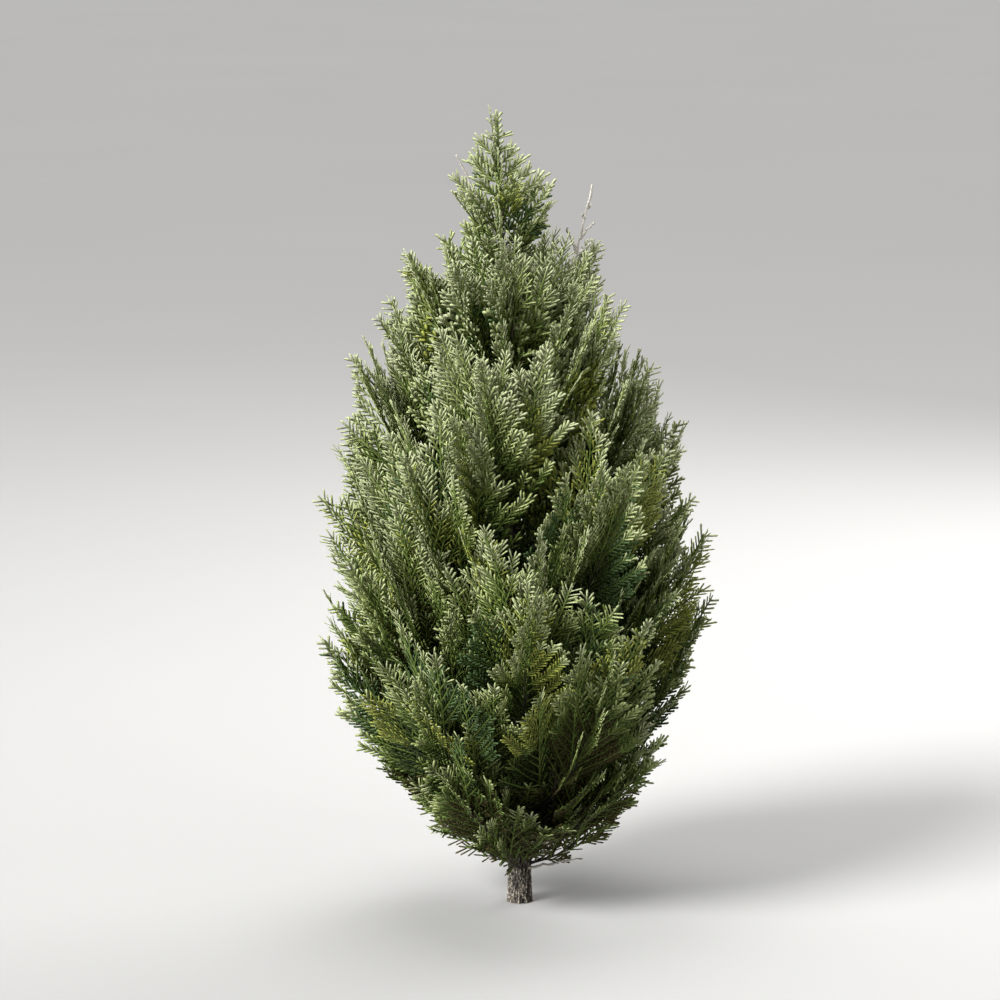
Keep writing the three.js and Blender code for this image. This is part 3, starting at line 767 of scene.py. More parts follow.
def grow_shoots(plume, branchlets, dice, settings):
    """The shoots of scale leaves on a plume's branchlets, each with how pale it is, painted light and shade
    included
    """
    owner, place, hand, always = shoot_places(branchlets, settings)
    total = len(owner)
    x, y, lift, heading = on_branchlets(branchlets, owner, place)
    base = bent(plume, x, y, lift)
    size = settings.shoot_length * lerp(*SHOOT_SIZES, place)
    size = np.where(branchlets.clothing[owner], size * CLOTHING_SIZE, size)
    size = np.where(hand == 0, settings.shoot_length * END_SIZE, size)
    fineness = dice.uniform(*FINENESS)
    size = size * dice.uniform(*SIZE_SCATTER, total) * fineness
    lean = lerp(*SHOOT_LEANS, place) + dice.uniform(-SHOOT_LEAN_SCATTER, SHOOT_LEAN_SCATTER, total)
    angle = heading + hand * np.radians(lean)

    # Each shoot follows the face's own slope and turns up with its branchlet
    rise = branchlets.tilt[owner] + dice.uniform(-SHOOT_RISE, SHOOT_RISE, total)
    slope_x = 2 * plume.bow * x / plume.length
    slope_y = 2 * plume.curl * y / plume.length
    rise = rise + slope_x * np.cos(angle) + slope_y * np.sin(angle)
    normal = np.cross(plume.ahead, plume.across)
    way = np.cos(angle)[:, None] * plume.ahead + np.sin(angle)[:, None] * plume.across
    outwards = np.sin(angle) * np.where(y < 0, -1, 1)
    way = unit(way + rise[:, None] * normal + UPSWEEP * outwards[:, None] * UP)
    flat_side = unit(np.cross(normal, way))
    roll = np.radians(dice.normal(0, SHOOT_ROLL, total))[:, None]
    across = flat_side * np.cos(roll) + np.cross(way, flat_side) * np.sin(roll)
    girth = lerp(*SHOOT_GIRTHS, place) * dice.uniform(*GIRTH_SCATTER, total) / fineness

    # From the dark heart of a plume to its fresh outer tips, with painted shade deep in the crown and near
    # each mass's root, and painted light towards the top
    depth = crown_depth(base)
    along_rib = (x / plume.length).clip(0, 1)
    # the crown's depth and the place along a mass add painted shade
    tint = PALE_BRANCHLET * place + PALE_RIB * along_rib + PAINTED_SHADE_BY_DEPTH * depth
    # painted light towards the top and painted shade towards the ground
    tint += PAINTED_LIGHT_BY_HEIGHT * base[:, 2] / HEIGHT
    tint += PAINTED_SHADE_ALONG_MASS * flame_place(plume.mass, base)
    tint += dice.normal(0, PALE_SCATTER, total)
    tint += dice.normal(0, PALE_PLUME_SCATTER)

    # Deep inside, one stouter shoot stands for two
    inner = (depth < INNER_DEPTH) & (base[:, 2] < INNER_TOP)
    girth = np.where(inner, girth * INNER_GIRTH, girth)
    if is_leader(plume.mass):
        girth = girth * LEADER_GIRTH
    shoots = Shoots(base, way, across, size, girth, tint)
    return Shoots(*(column[always | ~inner] for column in shoots))


def grow_plume(plume, dice, settings):
    """The shoots of scale leaves on one plume, and its rib and branchlets as rows of points"""
    bow = dice.uniform(-PLUME_BOW, PLUME_BOW)
    curl = dice.uniform(-PLUME_CURL, PLUME_CURL)
    ragged = np.clip(plume.root[2] / RAGGED_HEIGHT, *RAGGED_SHARES)
    slack = dice.uniform(*RAGGED) * ragged if plume.ragged else OUTLINE_SLACK
    plume = cut_plume(plume._replace(bow=bow, curl=curl), slack)
    branchlets = grow_branchlets(plume, slack, ragged, dice, settings)
    rows = branchlet_rows(plume, branchlets, np.linspace(0, BRANCHLET_SHOWN, BRANCHLET_POINTS))
    rib = rib_points(plume, np.linspace(0, plume.length * RIB_SHOWN, RIB_POINTS))
    return grow_shoots(plume, branchlets, dice, settings), rib, rows


def grown_crown():
    """All shoots of the crown with the kind of each one's plume, all ribs and all branchlets"""
    settings = bpy.context.scene.shrub_sprays
    dice = np.random.default_rng(settings.seed)
    parts, ribs, branchlets, kinds = [], [], [], []
    for plume in all_plumes():
        if plume.length < settings.branchlet_step:
            continue
        shoots, rib, rows = grow_plume(plume, dice, settings)
        parts.append(shoots)
        kinds.append(np.full(len(shoots.tint), dice.uniform()))
        # A plume that is cut off at its root has neither branchlets nor a rib
        if len(rows):
            ribs.append(rib)
            branchlets.append(rows)
    shoots = Shoots(*(np.concatenate(column) for column in zip(*parts)))
    return shoots, np.concatenate(kinds), np.array(ribs), np.concatenate(branchlets)


def dealt_greens(shoots, kind):
    """The name of every shoot's green: by its rank from dark to pale, painted light and shade included, or by
    the kind of its plume
    """
    rank = np.empty(len(shoots.tint))
    rank[np.argsort(shoots.tint, kind="stable")] = np.linspace(0, 1, len(rank))
    height = shoots.base[:, 2]
    heart = (rank < HEART_RANK) & (height > HEART_HEIGHT)
    golden = heart & (kind < GOLD_KIND) & (rank > GOLD_RANK)
    bluish = heart & (kind > BLUE_KIND) & (rank > BLUE_RANK)
    first_brown, last_brown = BROWN_KINDS
    dying = (kind > first_brown) & (kind < last_brown) | (height < BROWN_HEIGHT)
    brown = dying & (rank < BROWN_RANK)
    plain = np.array(PLAIN_GREENS)[np.searchsorted(PLAIN_RANKS, rank, side="right")]
    return np.select([golden, bluish, brown], ["gold", "blue", "brown"], plain)


# Meshes and pieces


def new_object(name, data):
    """An object of a mesh, a light or a camera, at the origin of the scene"""
    piece = bpy.data.objects.new(name, data)
    bpy.context.scene.collection.objects.link(piece)
    return piece


def point_mesh(name, points, edges, columns):
    """A mesh of points and edges with named numbers or vectors on its points"""
    mesh = bpy.data.meshes.new(name)
    mesh.from_pydata(points.tolist(), edges, [])
    for label, values in columns.items():
        kind, field = ("FLOAT_VECTOR", "vector") if values.ndim == 2 else ("FLOAT", "value")
        column = mesh.attributes.new(label, kind, "POINT")
        column.data.foreach_set(field, values.astype(np.float32).ravel())
    return mesh


def euler_angles(way, across):
    """Turns that carry X onto way and Y onto across, as XYZ angles"""
    normal = np.cross(way, across)
    x = np.arctan2(across[:, 2], normal[:, 2])
    y = np.arcsin(np.clip(-way[:, 2], -1, 1))
    z = np.arctan2(way[:, 1], way[:, 0])
    return np.stack([x, y, z], axis=1)


def add_socket(tree, label, kind, in_out="INPUT"):
    """A named input or output of a node tree"""
    return tree.interface.new_socket(name=label, in_out=in_out, socket_type=kind)


def new_tree(label, inputs):
    """A Geometry Nodes tree with a mesh in, a mesh out and the named inputs given"""
    tree = bpy.data.node_groups.new(label, "GeometryNodeTree")
    add_socket(tree, "Geometry", "NodeSocketGeometry", "OUTPUT")
    add_socket(tree, "Geometry", "NodeSocketGeometry")
    for name, kind in inputs:
        add_socket(tree, name, kind)
    return tree, tree.nodes.new("NodeGroupInput"), tree.nodes.new("NodeGroupOutput")


def named_attribute(tree, label, kind):
    """The node that reads one of the points' named columns"""
    node = tree.nodes.new("GeometryNodeInputNamedAttribute")
    node.data_type = kind
    node.inputs["Name"].default_value = label
    return next(socket for socket in node.outputs if socket.enabled and socket.name == "Attribute")


def finish_tree(tree, made, given, result):
    """Ends a tree in smooth shading, Realize Instances and Set Material"""
    realize = tree.nodes.new("GeometryNodeRealizeInstances")
    smooth = tree.nodes.new("GeometryNodeSetShadeSmooth")
    paint = tree.nodes.new("GeometryNodeSetMaterial")
    tree.links.new(made, realize.inputs["Geometry"])
    tree.links.new(realize.outputs["Geometry"], smooth.inputs["Geometry"])
    tree.links.new(smooth.outputs["Geometry"], paint.inputs["Geometry"])
    tree.links.new(given.outputs["Material"], paint.inputs["Material"])
    tree.links.new(paint.outputs["Geometry"], result.inputs["Geometry"])


@functools.cache
def shoot_tree():
    """Sets one shoot on every point, turned and sized by the point's own columns"""
    inputs = (
        ("Shoot Shape", "NodeSocketObject"),
        ("Shoot Width", "NodeSocketFloat"),
        ("Shoot Thickness", "NodeSocketFloat"),
        ("Material", "NodeSocketMaterial"),
    )
    tree, given, result = new_tree("Scale-leaf shoots", inputs)
    shape = tree.nodes.new("GeometryNodeObjectInfo")
    size = tree.nodes.new("ShaderNodeCombineXYZ")
    turn = tree.nodes.new("FunctionNodeEulerToRotation")
    place = tree.nodes.new("GeometryNodeInstanceOnPoints")
    girth = named_attribute(tree, "girth", "FLOAT")
    for label, socket in (("Shoot Width", "Y"), ("Shoot Thickness", "Z")):
        times = tree.nodes.new("ShaderNodeMath")
        times.operation = "MULTIPLY"
        tree.links.new(given.outputs[label], times.inputs[0])
        tree.links.new(girth, times.inputs[1])
        tree.links.new(times.outputs[0], size.inputs[socket])
    tree.links.new(named_attribute(tree, "reach", "FLOAT"), size.inputs["X"])
    tree.links.new(named_attribute(tree, "turn", "FLOAT_VECTOR"), turn.inputs["Euler"])
    tree.links.new(given.outputs["Shoot Shape"], shape.inputs["Object"])
    tree.links.new(given.outputs["Geometry"], place.inputs["Points"])
    tree.links.new(shape.outputs["Geometry"], place.inputs["Instance"])
    tree.links.new(turn.outputs["Rotation"], place.inputs["Rotation"])
    tree.links.new(size.outputs["Vector"], place.inputs["Scale"])
    finish_tree(tree, place.outputs["Instances"], given, result)
    return tree


@functools.cache
def twig_tree():
    """Sweeps a round of few sides along every row of points, as thick as the points say"""
    inputs = (("Sides", "NodeSocketInt"), ("Material", "NodeSocketMaterial"))
    tree, given, result = new_tree("Twigs", inputs)
    curve = tree.nodes.new("GeometryNodeMeshToCurve")
    ring = tree.nodes.new("GeometryNodeCurvePrimitiveCircle")
    sweep = tree.nodes.new("GeometryNodeCurveToMesh")
    ring.mode = "RADIUS"
    ring.inputs["Radius"].default_value = 1
    sweep.inputs["Fill Caps"].default_value = True
    tree.links.new(given.outputs["Geometry"], curve.inputs["Mesh"])
    tree.links.new(given.outputs["Sides"], ring.inputs["Resolution"])
    tree.links.new(curve.outputs["Curve"], sweep.inputs["Curve"])
    tree.links.new(ring.outputs["Curve"], sweep.inputs["Profile Curve"])
    tree.links.new(named_attribute(tree, "girth", "FLOAT"), sweep.inputs["Scale"])
    finish_tree(tree, sweep.outputs["Mesh"], given, result)
    return tree


def made_by_nodes(name, mesh, tree, values):
    """A plain mesh piece that a node tree makes of a mesh of points"""
    piece = new_object(name, mesh)
    modifier = piece.modifiers.new("Growth", "NODES")
    modifier.node_group = tree
    for item in tree.interface.items_tree:
        if item.in_out == "INPUT" and item.name in values:
            modifier[item.identifier] = values[item.name]
    depsgraph = bpy.context.evaluated_depsgraph_get()
    made = bpy.data.meshes.new_from_object(piece.evaluated_get(depsgraph), depsgraph=depsgraph)
    piece.modifiers.clear()
    piece.data = made
    bpy.data.meshes.remove(mesh)
    for label in ("girth", "reach", "turn"):
        if label in made.attributes:
            made.attributes.remove(made.attributes[label])
    if not made.polygons:
        raise RuntimeError(f"{name} came out empty")
    made.name = name
    return piece


def shoot_shape():
    """One shoot of scale leaves, one long and one wide: flat, narrow at its foot, with a full blunt end"""
    points = []
    for x, half in SHOOT_RINGS:
        points += [(x, half, -half / 2), (x, 0, half), (x, -half, -half / 2)]
    points.append((1, 0, 0))
    faces = [(2, 1, 0)]
    for k in range(3):
        after = (k + 1) % 3
        faces += [(k, after, 3 + after, 3 + k), (3 + k, 3 + after, 6)]
    mesh = bpy.data.meshes.new("shoot shape")
    mesh.from_pydata(points, [], faces)
    return new_object("shoot_shape", mesh)


def chained_rows(rows):
    """Rows of points as one list, with the edges that join each row"""
    count, steps, _ = rows.shape
    first = np.arange(count)[:, None] * steps + np.arange(steps - 1)
    edges = np.stack([first.ravel(), first.ravel() + 1], axis=1)
    return rows.reshape(-1, 3), edges.tolist()


def tapered(rows, radii):
    """A radius at every point of the rows, from the first of two at their starts to the second"""
    return np.tile(np.linspace(*radii, rows.shape[1]), (len(rows), 1))


def twig_piece(name, rows, radii, sides, material):
    """A piece of many twigs, each a row of points with a radius at every point"""
    points, edges = chained_rows(rows)
    mesh = point_mesh(name, points, edges, {"girth": radii.ravel()})
    return made_by_nodes(name, mesh, twig_tree(), {"Sides": sides, "Material": material})


# Materials


def new_material(name):
    """A material with its shader, and the pattern's place on the object"""
    material = bpy.data.materials.new(name)
    material.use_nodes = True
    nodes = material.node_tree.nodes
    place = nodes.new("ShaderNodeTexCoord")
    return material, material.node_tree, nodes["Principled BSDF"], place.outputs["Object"]


def noise_node(tree, place, scale, detail):
    """A noise pattern of a scale on the object"""
    node = tree.nodes.new("ShaderNodeTexNoise")
    node.inputs["Scale"].default_value = scale
    node.inputs["Detail"].default_value = detail
    tree.links.new(place, node.inputs["Vector"])
    return node.outputs["Fac"]


def ramp_node(tree, factor, stops):
    """Colours along a factor"""
    node = tree.nodes.new("ShaderNodeValToRGB")
    ramp = node.color_ramp
    while len(ramp.elements) < len(stops):
        ramp.elements.new(0.5)
    for element, (place, colour) in zip(ramp.elements, stops):
        element.position = place
        element.color = (*colour, 1)
    tree.links.new(factor, node.inputs["Fac"])
    return node.outputs["Color"]


def shade_node(tree, factor, colour, stops):
    """Lighter and darker shades of one colour along a factor"""
    return ramp_node(tree, factor, [(place, scaled(colour, light)) for place, light in stops])


def multiply_node(tree, first, second):
    """Two colours multiplied"""
    node = tree.nodes.new("ShaderNodeMix")
    node.data_type = "RGBA"
    node.blend_type = "MULTIPLY"
    sockets = {socket.identifier: socket for socket in node.inputs}
    sockets["Factor_Float"].default_value = 1
    tree.links.new(first, sockets["A_Color"])
    tree.links.new(second, sockets["B_Color"])
    return next(socket for socket in node.outputs if socket.identifier == "Result_Color")


def stretched(tree, place, scale):
    """The pattern's place on the object, scaled along each axis"""
    node = tree.nodes.new("ShaderNodeMapping")
    node.inputs["Scale"].default_value = scale
    tree.links.new(place, node.inputs["Vector"])
    return node.outputs["Vector"]


def bump_node(tree, height, strength, distance, shader):
    """Fine relief on a shader"""
    node = tree.nodes.new("ShaderNodeBump")
    node.inputs["Strength"].default_value = strength
    node.inputs["Distance"].default_value = distance
    tree.links.new(height, node.inputs["Height"])
    tree.links.new(node.outputs["Normal"], shader.inputs["Normal"])


def scaled(colour, factor):
    """A colour made darker or lighter"""
    return tuple(min(1, channel * factor) for channel in colour)


def leaf_material(name, colour):
    """Scale leaves: one green, mottled at the size of a scale and drifting slowly over the crown"""
    material, tree, shader, place = new_material(name)
    scales = noise_node(tree, place, LEAF_NOISE, detail=1)
    mottle = shade_node(tree, scales, colour, LEAF_SHADES)
    drift = noise_node(tree, place, DRIFT_NOISE, detail=2)
    haze = ramp_node(tree, drift, DRIFT_COLOURS)
    tree.links.new(multiply_node(tree, mottle, haze), shader.inputs["Base Color"])
    tree.links.new(shade_node(tree, scales, WHITE, LEAF_ROUGHNESS), shader.inputs["Roughness"])
    shader.inputs["Specular IOR Level"].default_value = LEAF_SPECULAR
    bump_node(tree, scales, *LEAF_BUMP, shader)
    return material


def bark_material(name, furrow, ridge):
    """Stringy bark: dark furrows and pale worn ridges by the mesh's own relief, with painted shade that
    darkens it inside the crown
    """
    material, tree, shader, place = new_material(name)
    relief = tree.nodes.new("ShaderNodeAttribute")
    relief.attribute_name = "relief"
    shades = (furrow, scaled(ridge, FLANK_LIGHT), ridge)
    worn = ramp_node(tree, relief.outputs["Fac"], list(zip(RELIEF_STOPS, shades)))
    fibres = noise_node(tree, stretched(tree, place, FIBRE_STRETCH), FIBRE_NOISE, detail=3)
    strands = ramp_node(tree, fibres, FIBRE_COLOURS)
    plates = tree.nodes.new("ShaderNodeTexVoronoi")
    plates.feature = "DISTANCE_TO_EDGE"
    plates.inputs["Scale"].default_value = PLATE_NOISE
    tree.links.new(stretched(tree, place, PLATE_STRETCH), plates.inputs["Vector"])
    cracks = ramp_node(tree, plates.outputs["Distance"], CRACK_COLOURS)
    # painted shade: the bark darkened by height inside the crown
    height = tree.nodes.new("ShaderNodeSeparateXYZ")
    tree.links.new(place, height.inputs["Vector"])
    shadow = ramp_node(tree, height.outputs["Z"], CROWN_PAINTED_SHADE)
    colour = worn
    for layer in (cracks, strands, shadow):
        colour = multiply_node(tree, colour, layer)
    tree.links.new(colour, shader.inputs["Base Color"])
    shader.inputs["Roughness"].default_value = BARK_ROUGHNESS
    bump_node(tree, fibres, *BARK_BUMP, shader)
    return material


def twig_material(name, colour):
    """Thin bark of twigs, streaked and mottled"""
    material, tree, shader, place = new_material(name)
    grain = noise_node(tree, place, TWIG_NOISE, detail=2)
    tree.links.new(shade_node(tree, grain, colour, TWIG_SHADES), shader.inputs["Base Color"])
    shader.inputs["Roughness"].default_value = TWIG_ROUGHNESS
    bump_node(tree, grain, *TWIG_BUMP, shader)
    return material


def floor_material(name, colour):
    """A plain pale floor with the faintest unevenness"""
    material, tree, shader, place = new_material(name)
    cloud = noise_node(tree, place, FLOOR_NOISE, detail=2)
    tree.links.new(shade_node(tree, cloud, colour, FLOOR_SHADES), shader.inputs["Base Color"])
    shader.inputs["Roughness"].default_value = FLOOR_ROUGHNESS
    return material


# Bark with its relief


def bark_relief(angle, along, ridges):
    """Height of the bark at an angle round a limb and a length along it: 0 in a furrow, 1 on a ridge"""
    x, y = math.cos(angle) * ridges, math.sin(angle) * ridges
    wander = WANDER * noise.noise(Vector((x * WANDER_ROUND, y * WANDER_ROUND, along * WANDER_ALONG)))
    coarse = noise.noise(Vector((x + wander, y + wander, along * COARSE_ALONG)))
    fine = noise.noise(Vector((x * FINE_ROUND, y * FINE_ROUND, along * FINE_ALONG + FINE_OFFSET)))
    furrow = min(1, abs(coarse) * FURROW_EDGE)
    return min(1, max(0, COARSE_PART * furrow + RELIEF_FLOOR + FINE_PART * fine))


def bark_tube(middles, frames, radii, sides, depth, ridges, offset):
    """Corners, faces and relief of a limb: rings round its line, closed at both ends"""
    lengths = np.append(0, np.cumsum(np.linalg.norm(np.diff(middles, axis=0), axis=1)))
    points, heights, faces = [], [], []
    for middle, (across, beside), radius, along in zip(middles, frames, radii, lengths):
        for k in range(sides):
            angle = 2 * math.pi * k / sides
            height = bark_relief(angle, along + offset, ridges)
            out = across * math.cos(angle) + beside * math.sin(angle)
            points.append(middle + out * radius * (1 + depth * (height - RELIEF_MIDDLE)))
            heights.append(height)
    for ring in range(len(middles) - 1):
        for k in range(sides):
            a, b = ring * sides + k, ring * sides + (k + 1) % sides
            faces.append((a, b, b + sides, a + sides))
    last = (len(middles) - 1) * sides
    faces.append(tuple(reversed(range(sides))))
    faces.append(tuple(range(last, last + sides)))
    return points, heights, faces


def bark_piece(name, tubes, material):
    """One piece of all the limbs given, with their relief kept on the points"""
    points, heights, faces = [], [], []
    for tube_points, tube_heights, tube_faces in tubes:
        base = len(points)
        points += [tuple(point) for point in tube_points]
        heights += tube_heights
        faces += [tuple(base + corner for corner in face) for face in tube_faces]
    mesh = bpy.data.meshes.new(name)
    mesh.from_pydata(points, [], faces)
    column = mesh.attributes.new("relief", "FLOAT", "POINT")
    column.data.foreach_set("value", heights)
    mesh.shade_smooth()
    mesh.materials.append(material)
    return new_object(name, mesh)


def limb_tube(line, span, radii, mesh, offset):
    """A tapering limb along part of a line, with the rings and sides given"""
    rings, sides = mesh
    shares = np.linspace(*span, rings)
    frames = [line.directions(share)[1:] for share in shares]
    radii = np.linspace(*radii, rings)
    return bark_tube(line.point(shares), frames, radii, sides, LIMB_FURROWS, LIMB_RIDGES, offset)


def keep_piece(piece, nodes=()):
    """Rides a piece on the part, and hides the solids that it stands for"""
    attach(piece, BODY)
    if nodes:
        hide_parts(*nodes)


def nodes_called(start):
    """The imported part's nodes whose names begin alike"""
    return sorted(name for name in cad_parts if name.startswith(start))


# Settings that a user would change


def size_setting(label, text, default):
    """A length"""
    return FloatProperty(name=label, description=text, default=default, min=0, unit="LENGTH", precision=4)


def colour_setting(label, text, default):
    """A colour, in linear light"""
    return FloatVectorProperty(
        name=label, description=text, default=default, min=0, max=1, size=3, subtype="COLOR"
    )


class WoodSettings(bpy.types.PropertyGroup):
    """Bark and twigs"""

    furrow_depth: FloatProperty(
        name="Furrow depth", description="Depth of the bark's furrows against the radius", default=0.2,
        min=0, max=0.5, subtype="FACTOR",
    )
    ridge_colour: colour_setting("Ridges", "Worn ridges of the bark", (0.54, 0.49, 0.41))
    furrow_colour: colour_setting("Furrows", "Furrows of the bark", (0.022, 0.018, 0.014))
    twig_colour: colour_setting("Twigs", "Woody twigs in the crown", (0.060, 0.047, 0.028))
    dry_colour: colour_setting("Dry twigs", "Bare dry shoots", (0.50, 0.47, 0.42))


class SpraySettings(bpy.types.PropertyGroup):
    """Sprays of scale leaves"""

    plumes: IntProperty(name="Plumes", description="Plumes on a mass's stem", default=8, min=2)
    leader_plumes: IntProperty(name="Leader plumes", description="Plumes on the leader", default=11, min=2)
    trunk_plumes: IntProperty(name="Trunk plumes", description="Plumes on the trunk", default=84, min=1)
    seed: IntProperty(name="Seed", description="Seed of the small differences between sprays", default=5)
    branchlet_step: size_setting("Branchlet step", "Between branchlets on one side of a rib", 0.0220)
    shoot_step: size_setting("Shoot step", "Between shoots on one side of a branchlet", 0.0076)
    shoot_length: size_setting("Shoot length", "Usual length of a shoot of scale leaves", 0.0195)
    shoot_width: size_setting("Shoot width", "Across a shoot", 0.0031)
    shoot_thickness: size_setting("Shoot thickness", "Through a shoot", 0.0014)
    deep_colour: colour_setting("Deep", "Shaded heart of the plumes", (0.025, 0.044, 0.008))
    blue_colour: colour_setting("Bluish", "Bluish hearts of some plumes", (0.075, 0.122, 0.046))
    mid_colour: colour_setting("Middle", "Between heart and tips", (0.113, 0.158, 0.036))
    fresh_colour: colour_setting("Fresh", "Branchlets near the crown's outline", (0.230, 0.280, 0.095))
    sage_colour: colour_setting("Sage", "Greyish green outer shoots", (0.325, 0.376, 0.148))
    pale_colour: colour_setting("Pale", "Pale outer shoots", (0.375, 0.412, 0.205))
    cream_colour: colour_setting("Cream", "Palest tips", (0.372, 0.397, 0.230))
    gold_colour: colour_setting("Gold", "Yellow-green hearts of some plumes", (0.290, 0.315, 0.068))
    brown_colour: colour_setting("Brown", "Shaded and dying shoots", (0.068, 0.058, 0.018))


class StageSettings(bpy.types.PropertyGroup):
    """Floor, light and camera"""

    floor_colour: colour_setting("Floor", "Pale floor", (0.33, 0.327, 0.32))
    floor_size: size_setting("Floor size", "Side of the floor", 60.0)
    view_width: size_setting("View width", "Across the frame at the trunk", 1.483)
    view_distance: size_setting("View distance", "Camera to the crown's middle", 6.0)
    view_rise: FloatProperty(
        name="View rise", description="Camera's height as an angle", default=math.radians(10.5),
        subtype="ANGLE",
    )
    key_power: FloatProperty(name="Key light", description="Main light", default=6.8, min=0)
    fill_power: FloatProperty(name="Fill light", description="Softer light", default=40, min=0, unit="POWER")
    top_power: FloatProperty(name="Top light", description="From above", default=150, min=0, unit="POWER")
    back_power: FloatProperty(name="Back light", description="From behind", default=130, min=0, unit="POWER")
    sky_strength: FloatProperty(name="Sky", description="Strength of the surroundings", default=0.165, min=0)


# Operators, one for each piece or group of like pieces


class SHRUB_OT_trunk(bpy.types.Operator):
    """Build the trunk with the relief of its bark"""

    bl_idname = "shrub.trunk"
    bl_label = "Trunk"

    def execute(self, context):
        """Level rings from the flat cut on the ground to the leader's foot"""
        wood = context.scene.shrub_wood
        heights = TRUNK_TOP * np.linspace(0, 1, TRUNK_RINGS) ** RING_POWER
        level = (np.array([1.0, 0, 0]), np.array([0, 1.0, 0]))
        tube = bark_tube(
            trunk_point(heights), [level] * TRUNK_RINGS, trunk_radius(heights), TRUNK_SIDES,
            wood.furrow_depth, TRUNK_RIDGES, 0,
        )
        material = bark_material("trunk bark", wood.furrow_colour, wood.ridge_colour)
        keep_piece(bark_piece("trunk_bark", [tube], material), nodes_called("trunk"))
        return {"FINISHED"}


class SHRUB_OT_boughs(bpy.types.Operator):
    """Build the boughs that leave the trunk, and the woody stems that they end in"""

    bl_idname = "shrub.boughs"
    bl_label = "Boughs"

    def execute(self, context):
        """One tapering limb on each line, bare bough and stem apart"""
        wood = context.scene.shrub_wood
        boughs, stems = [], []
        for number, line in enumerate(all_lines()):
            wide = TRUNK_STEM_RADIUS
            if line.start:
                boughs.append(limb_tube(line, (0, line.start), BOUGH_RADII, BOUGH_MESH, number))
                wide = STEM_RADIUS
            span = (line.start, lerp(line.start, 1, STEM_END))
            stems.append(limb_tube(line, span, (wide, STEM_TIP_RADIUS), STEM_MESH, number + STEM_OFFSET))
        # the boughs' and stems' ridges are darkened by painted shade
        material = bark_material("bough bark", wood.furrow_colour, scaled(wood.ridge_colour, BOUGH_PAINTED_SHADE))
        keep_piece(bark_piece("bough_bark", boughs, material), nodes_called("bough"))
        keep_piece(bark_piece("stem_bark", stems, material))
        return {"FINISHED"}


class SHRUB_OT_twigs(bpy.types.Operator):
    """Build the woody twigs that carry the plumes"""

    bl_idname = "shrub.twigs"
    bl_label = "Twigs"

    def execute(self, context):
        """One row of points for each plume that has a twig, swept by the twig tree"""
        carried = [plume for plume in all_plumes() if plume.foot is not None]
        rows = np.array([np.linspace(plume.foot, plume.root, TWIG_POINTS) for plume in carried])
        material = twig_material("woody twigs", context.scene.shrub_wood.twig_colour)
        keep_piece(twig_piece("woody_twigs", rows, tapered(rows, TWIG_RADII), TWIG_SIDES, material))
        return {"FINISHED"}


class SHRUB_OT_dry_shoots(bpy.types.Operator):
    """Build the bare dry shoots"""

    bl_idname = "shrub.dry_shoots"
    bl_label = "Dry Shoots"

    def execute(self, context):
        """A knotted shoot with side twigs, a thin one beside the leader, and snags round the trunk's foot"""
        dice = np.random.default_rng(DRY_SEED)
        line = all_lines()[DRY_MASS]
        ahead, side, _ = line.directions(DRY_STATION)
        root = line.point(DRY_STATION)
        rise = DRY_RISE * UP + unit(ahead * (1, 1, 0)) * DRY_OUT
        straight = [(root, root + rise, DRY_RADIUS)]
        for twig in DRY_TWIGS:
            angle = math.radians(twig.degrees)
            way = unit(rise) * math.cos(angle) + np.cross(side, unit(rise)) * math.sin(angle)
            foot = root + rise * twig.share
            straight.append((foot, foot + way * twig.length, DRY_TWIG_RADIUS))
        straight.append((trunk_point(LEADER_TWIG_FOOT), np.array(LEADER_TWIG_TIP), DRY_TWIG_RADIUS))
        for k in range(SNAGS):
            foot = trunk_point(lerp(*SNAG_HEIGHTS, k / (SNAGS - 1)))
            azimuth = math.radians(GOLDEN_TURN * k + SNAG_TURN)
            out = np.array([math.cos(azimuth), math.sin(azimuth), SNAG_RISE])
            straight.append((foot, foot + out * dice.uniform(*SNAG_LENGTHS), DRY_TWIG_RADIUS))

        shares = np.linspace(0, 1, DRY_POINTS)
        held = np.minimum(1, shares / DRY_STILL)[:, None]
        rows, radii = [], []
        for foot, tip, radius in straight:
            wander = dice.normal(0, DRY_WANDER, (DRY_POINTS, 3)) * held
            rows.append(foot + shares[:, None] * (tip - foot) + wander)
            knots = dice.uniform(*DRY_KNOTS, DRY_POINTS)
            radii.append(np.linspace(radius, DRY_TIP_RADIUS, DRY_POINTS) * knots)
        material = twig_material("dry twigs", context.scene.shrub_wood.dry_colour)
        keep_piece(twig_piece("dry_shoots", np.array(rows), np.array(radii), TWIG_SIDES, material))
        return {"FINISHED"}


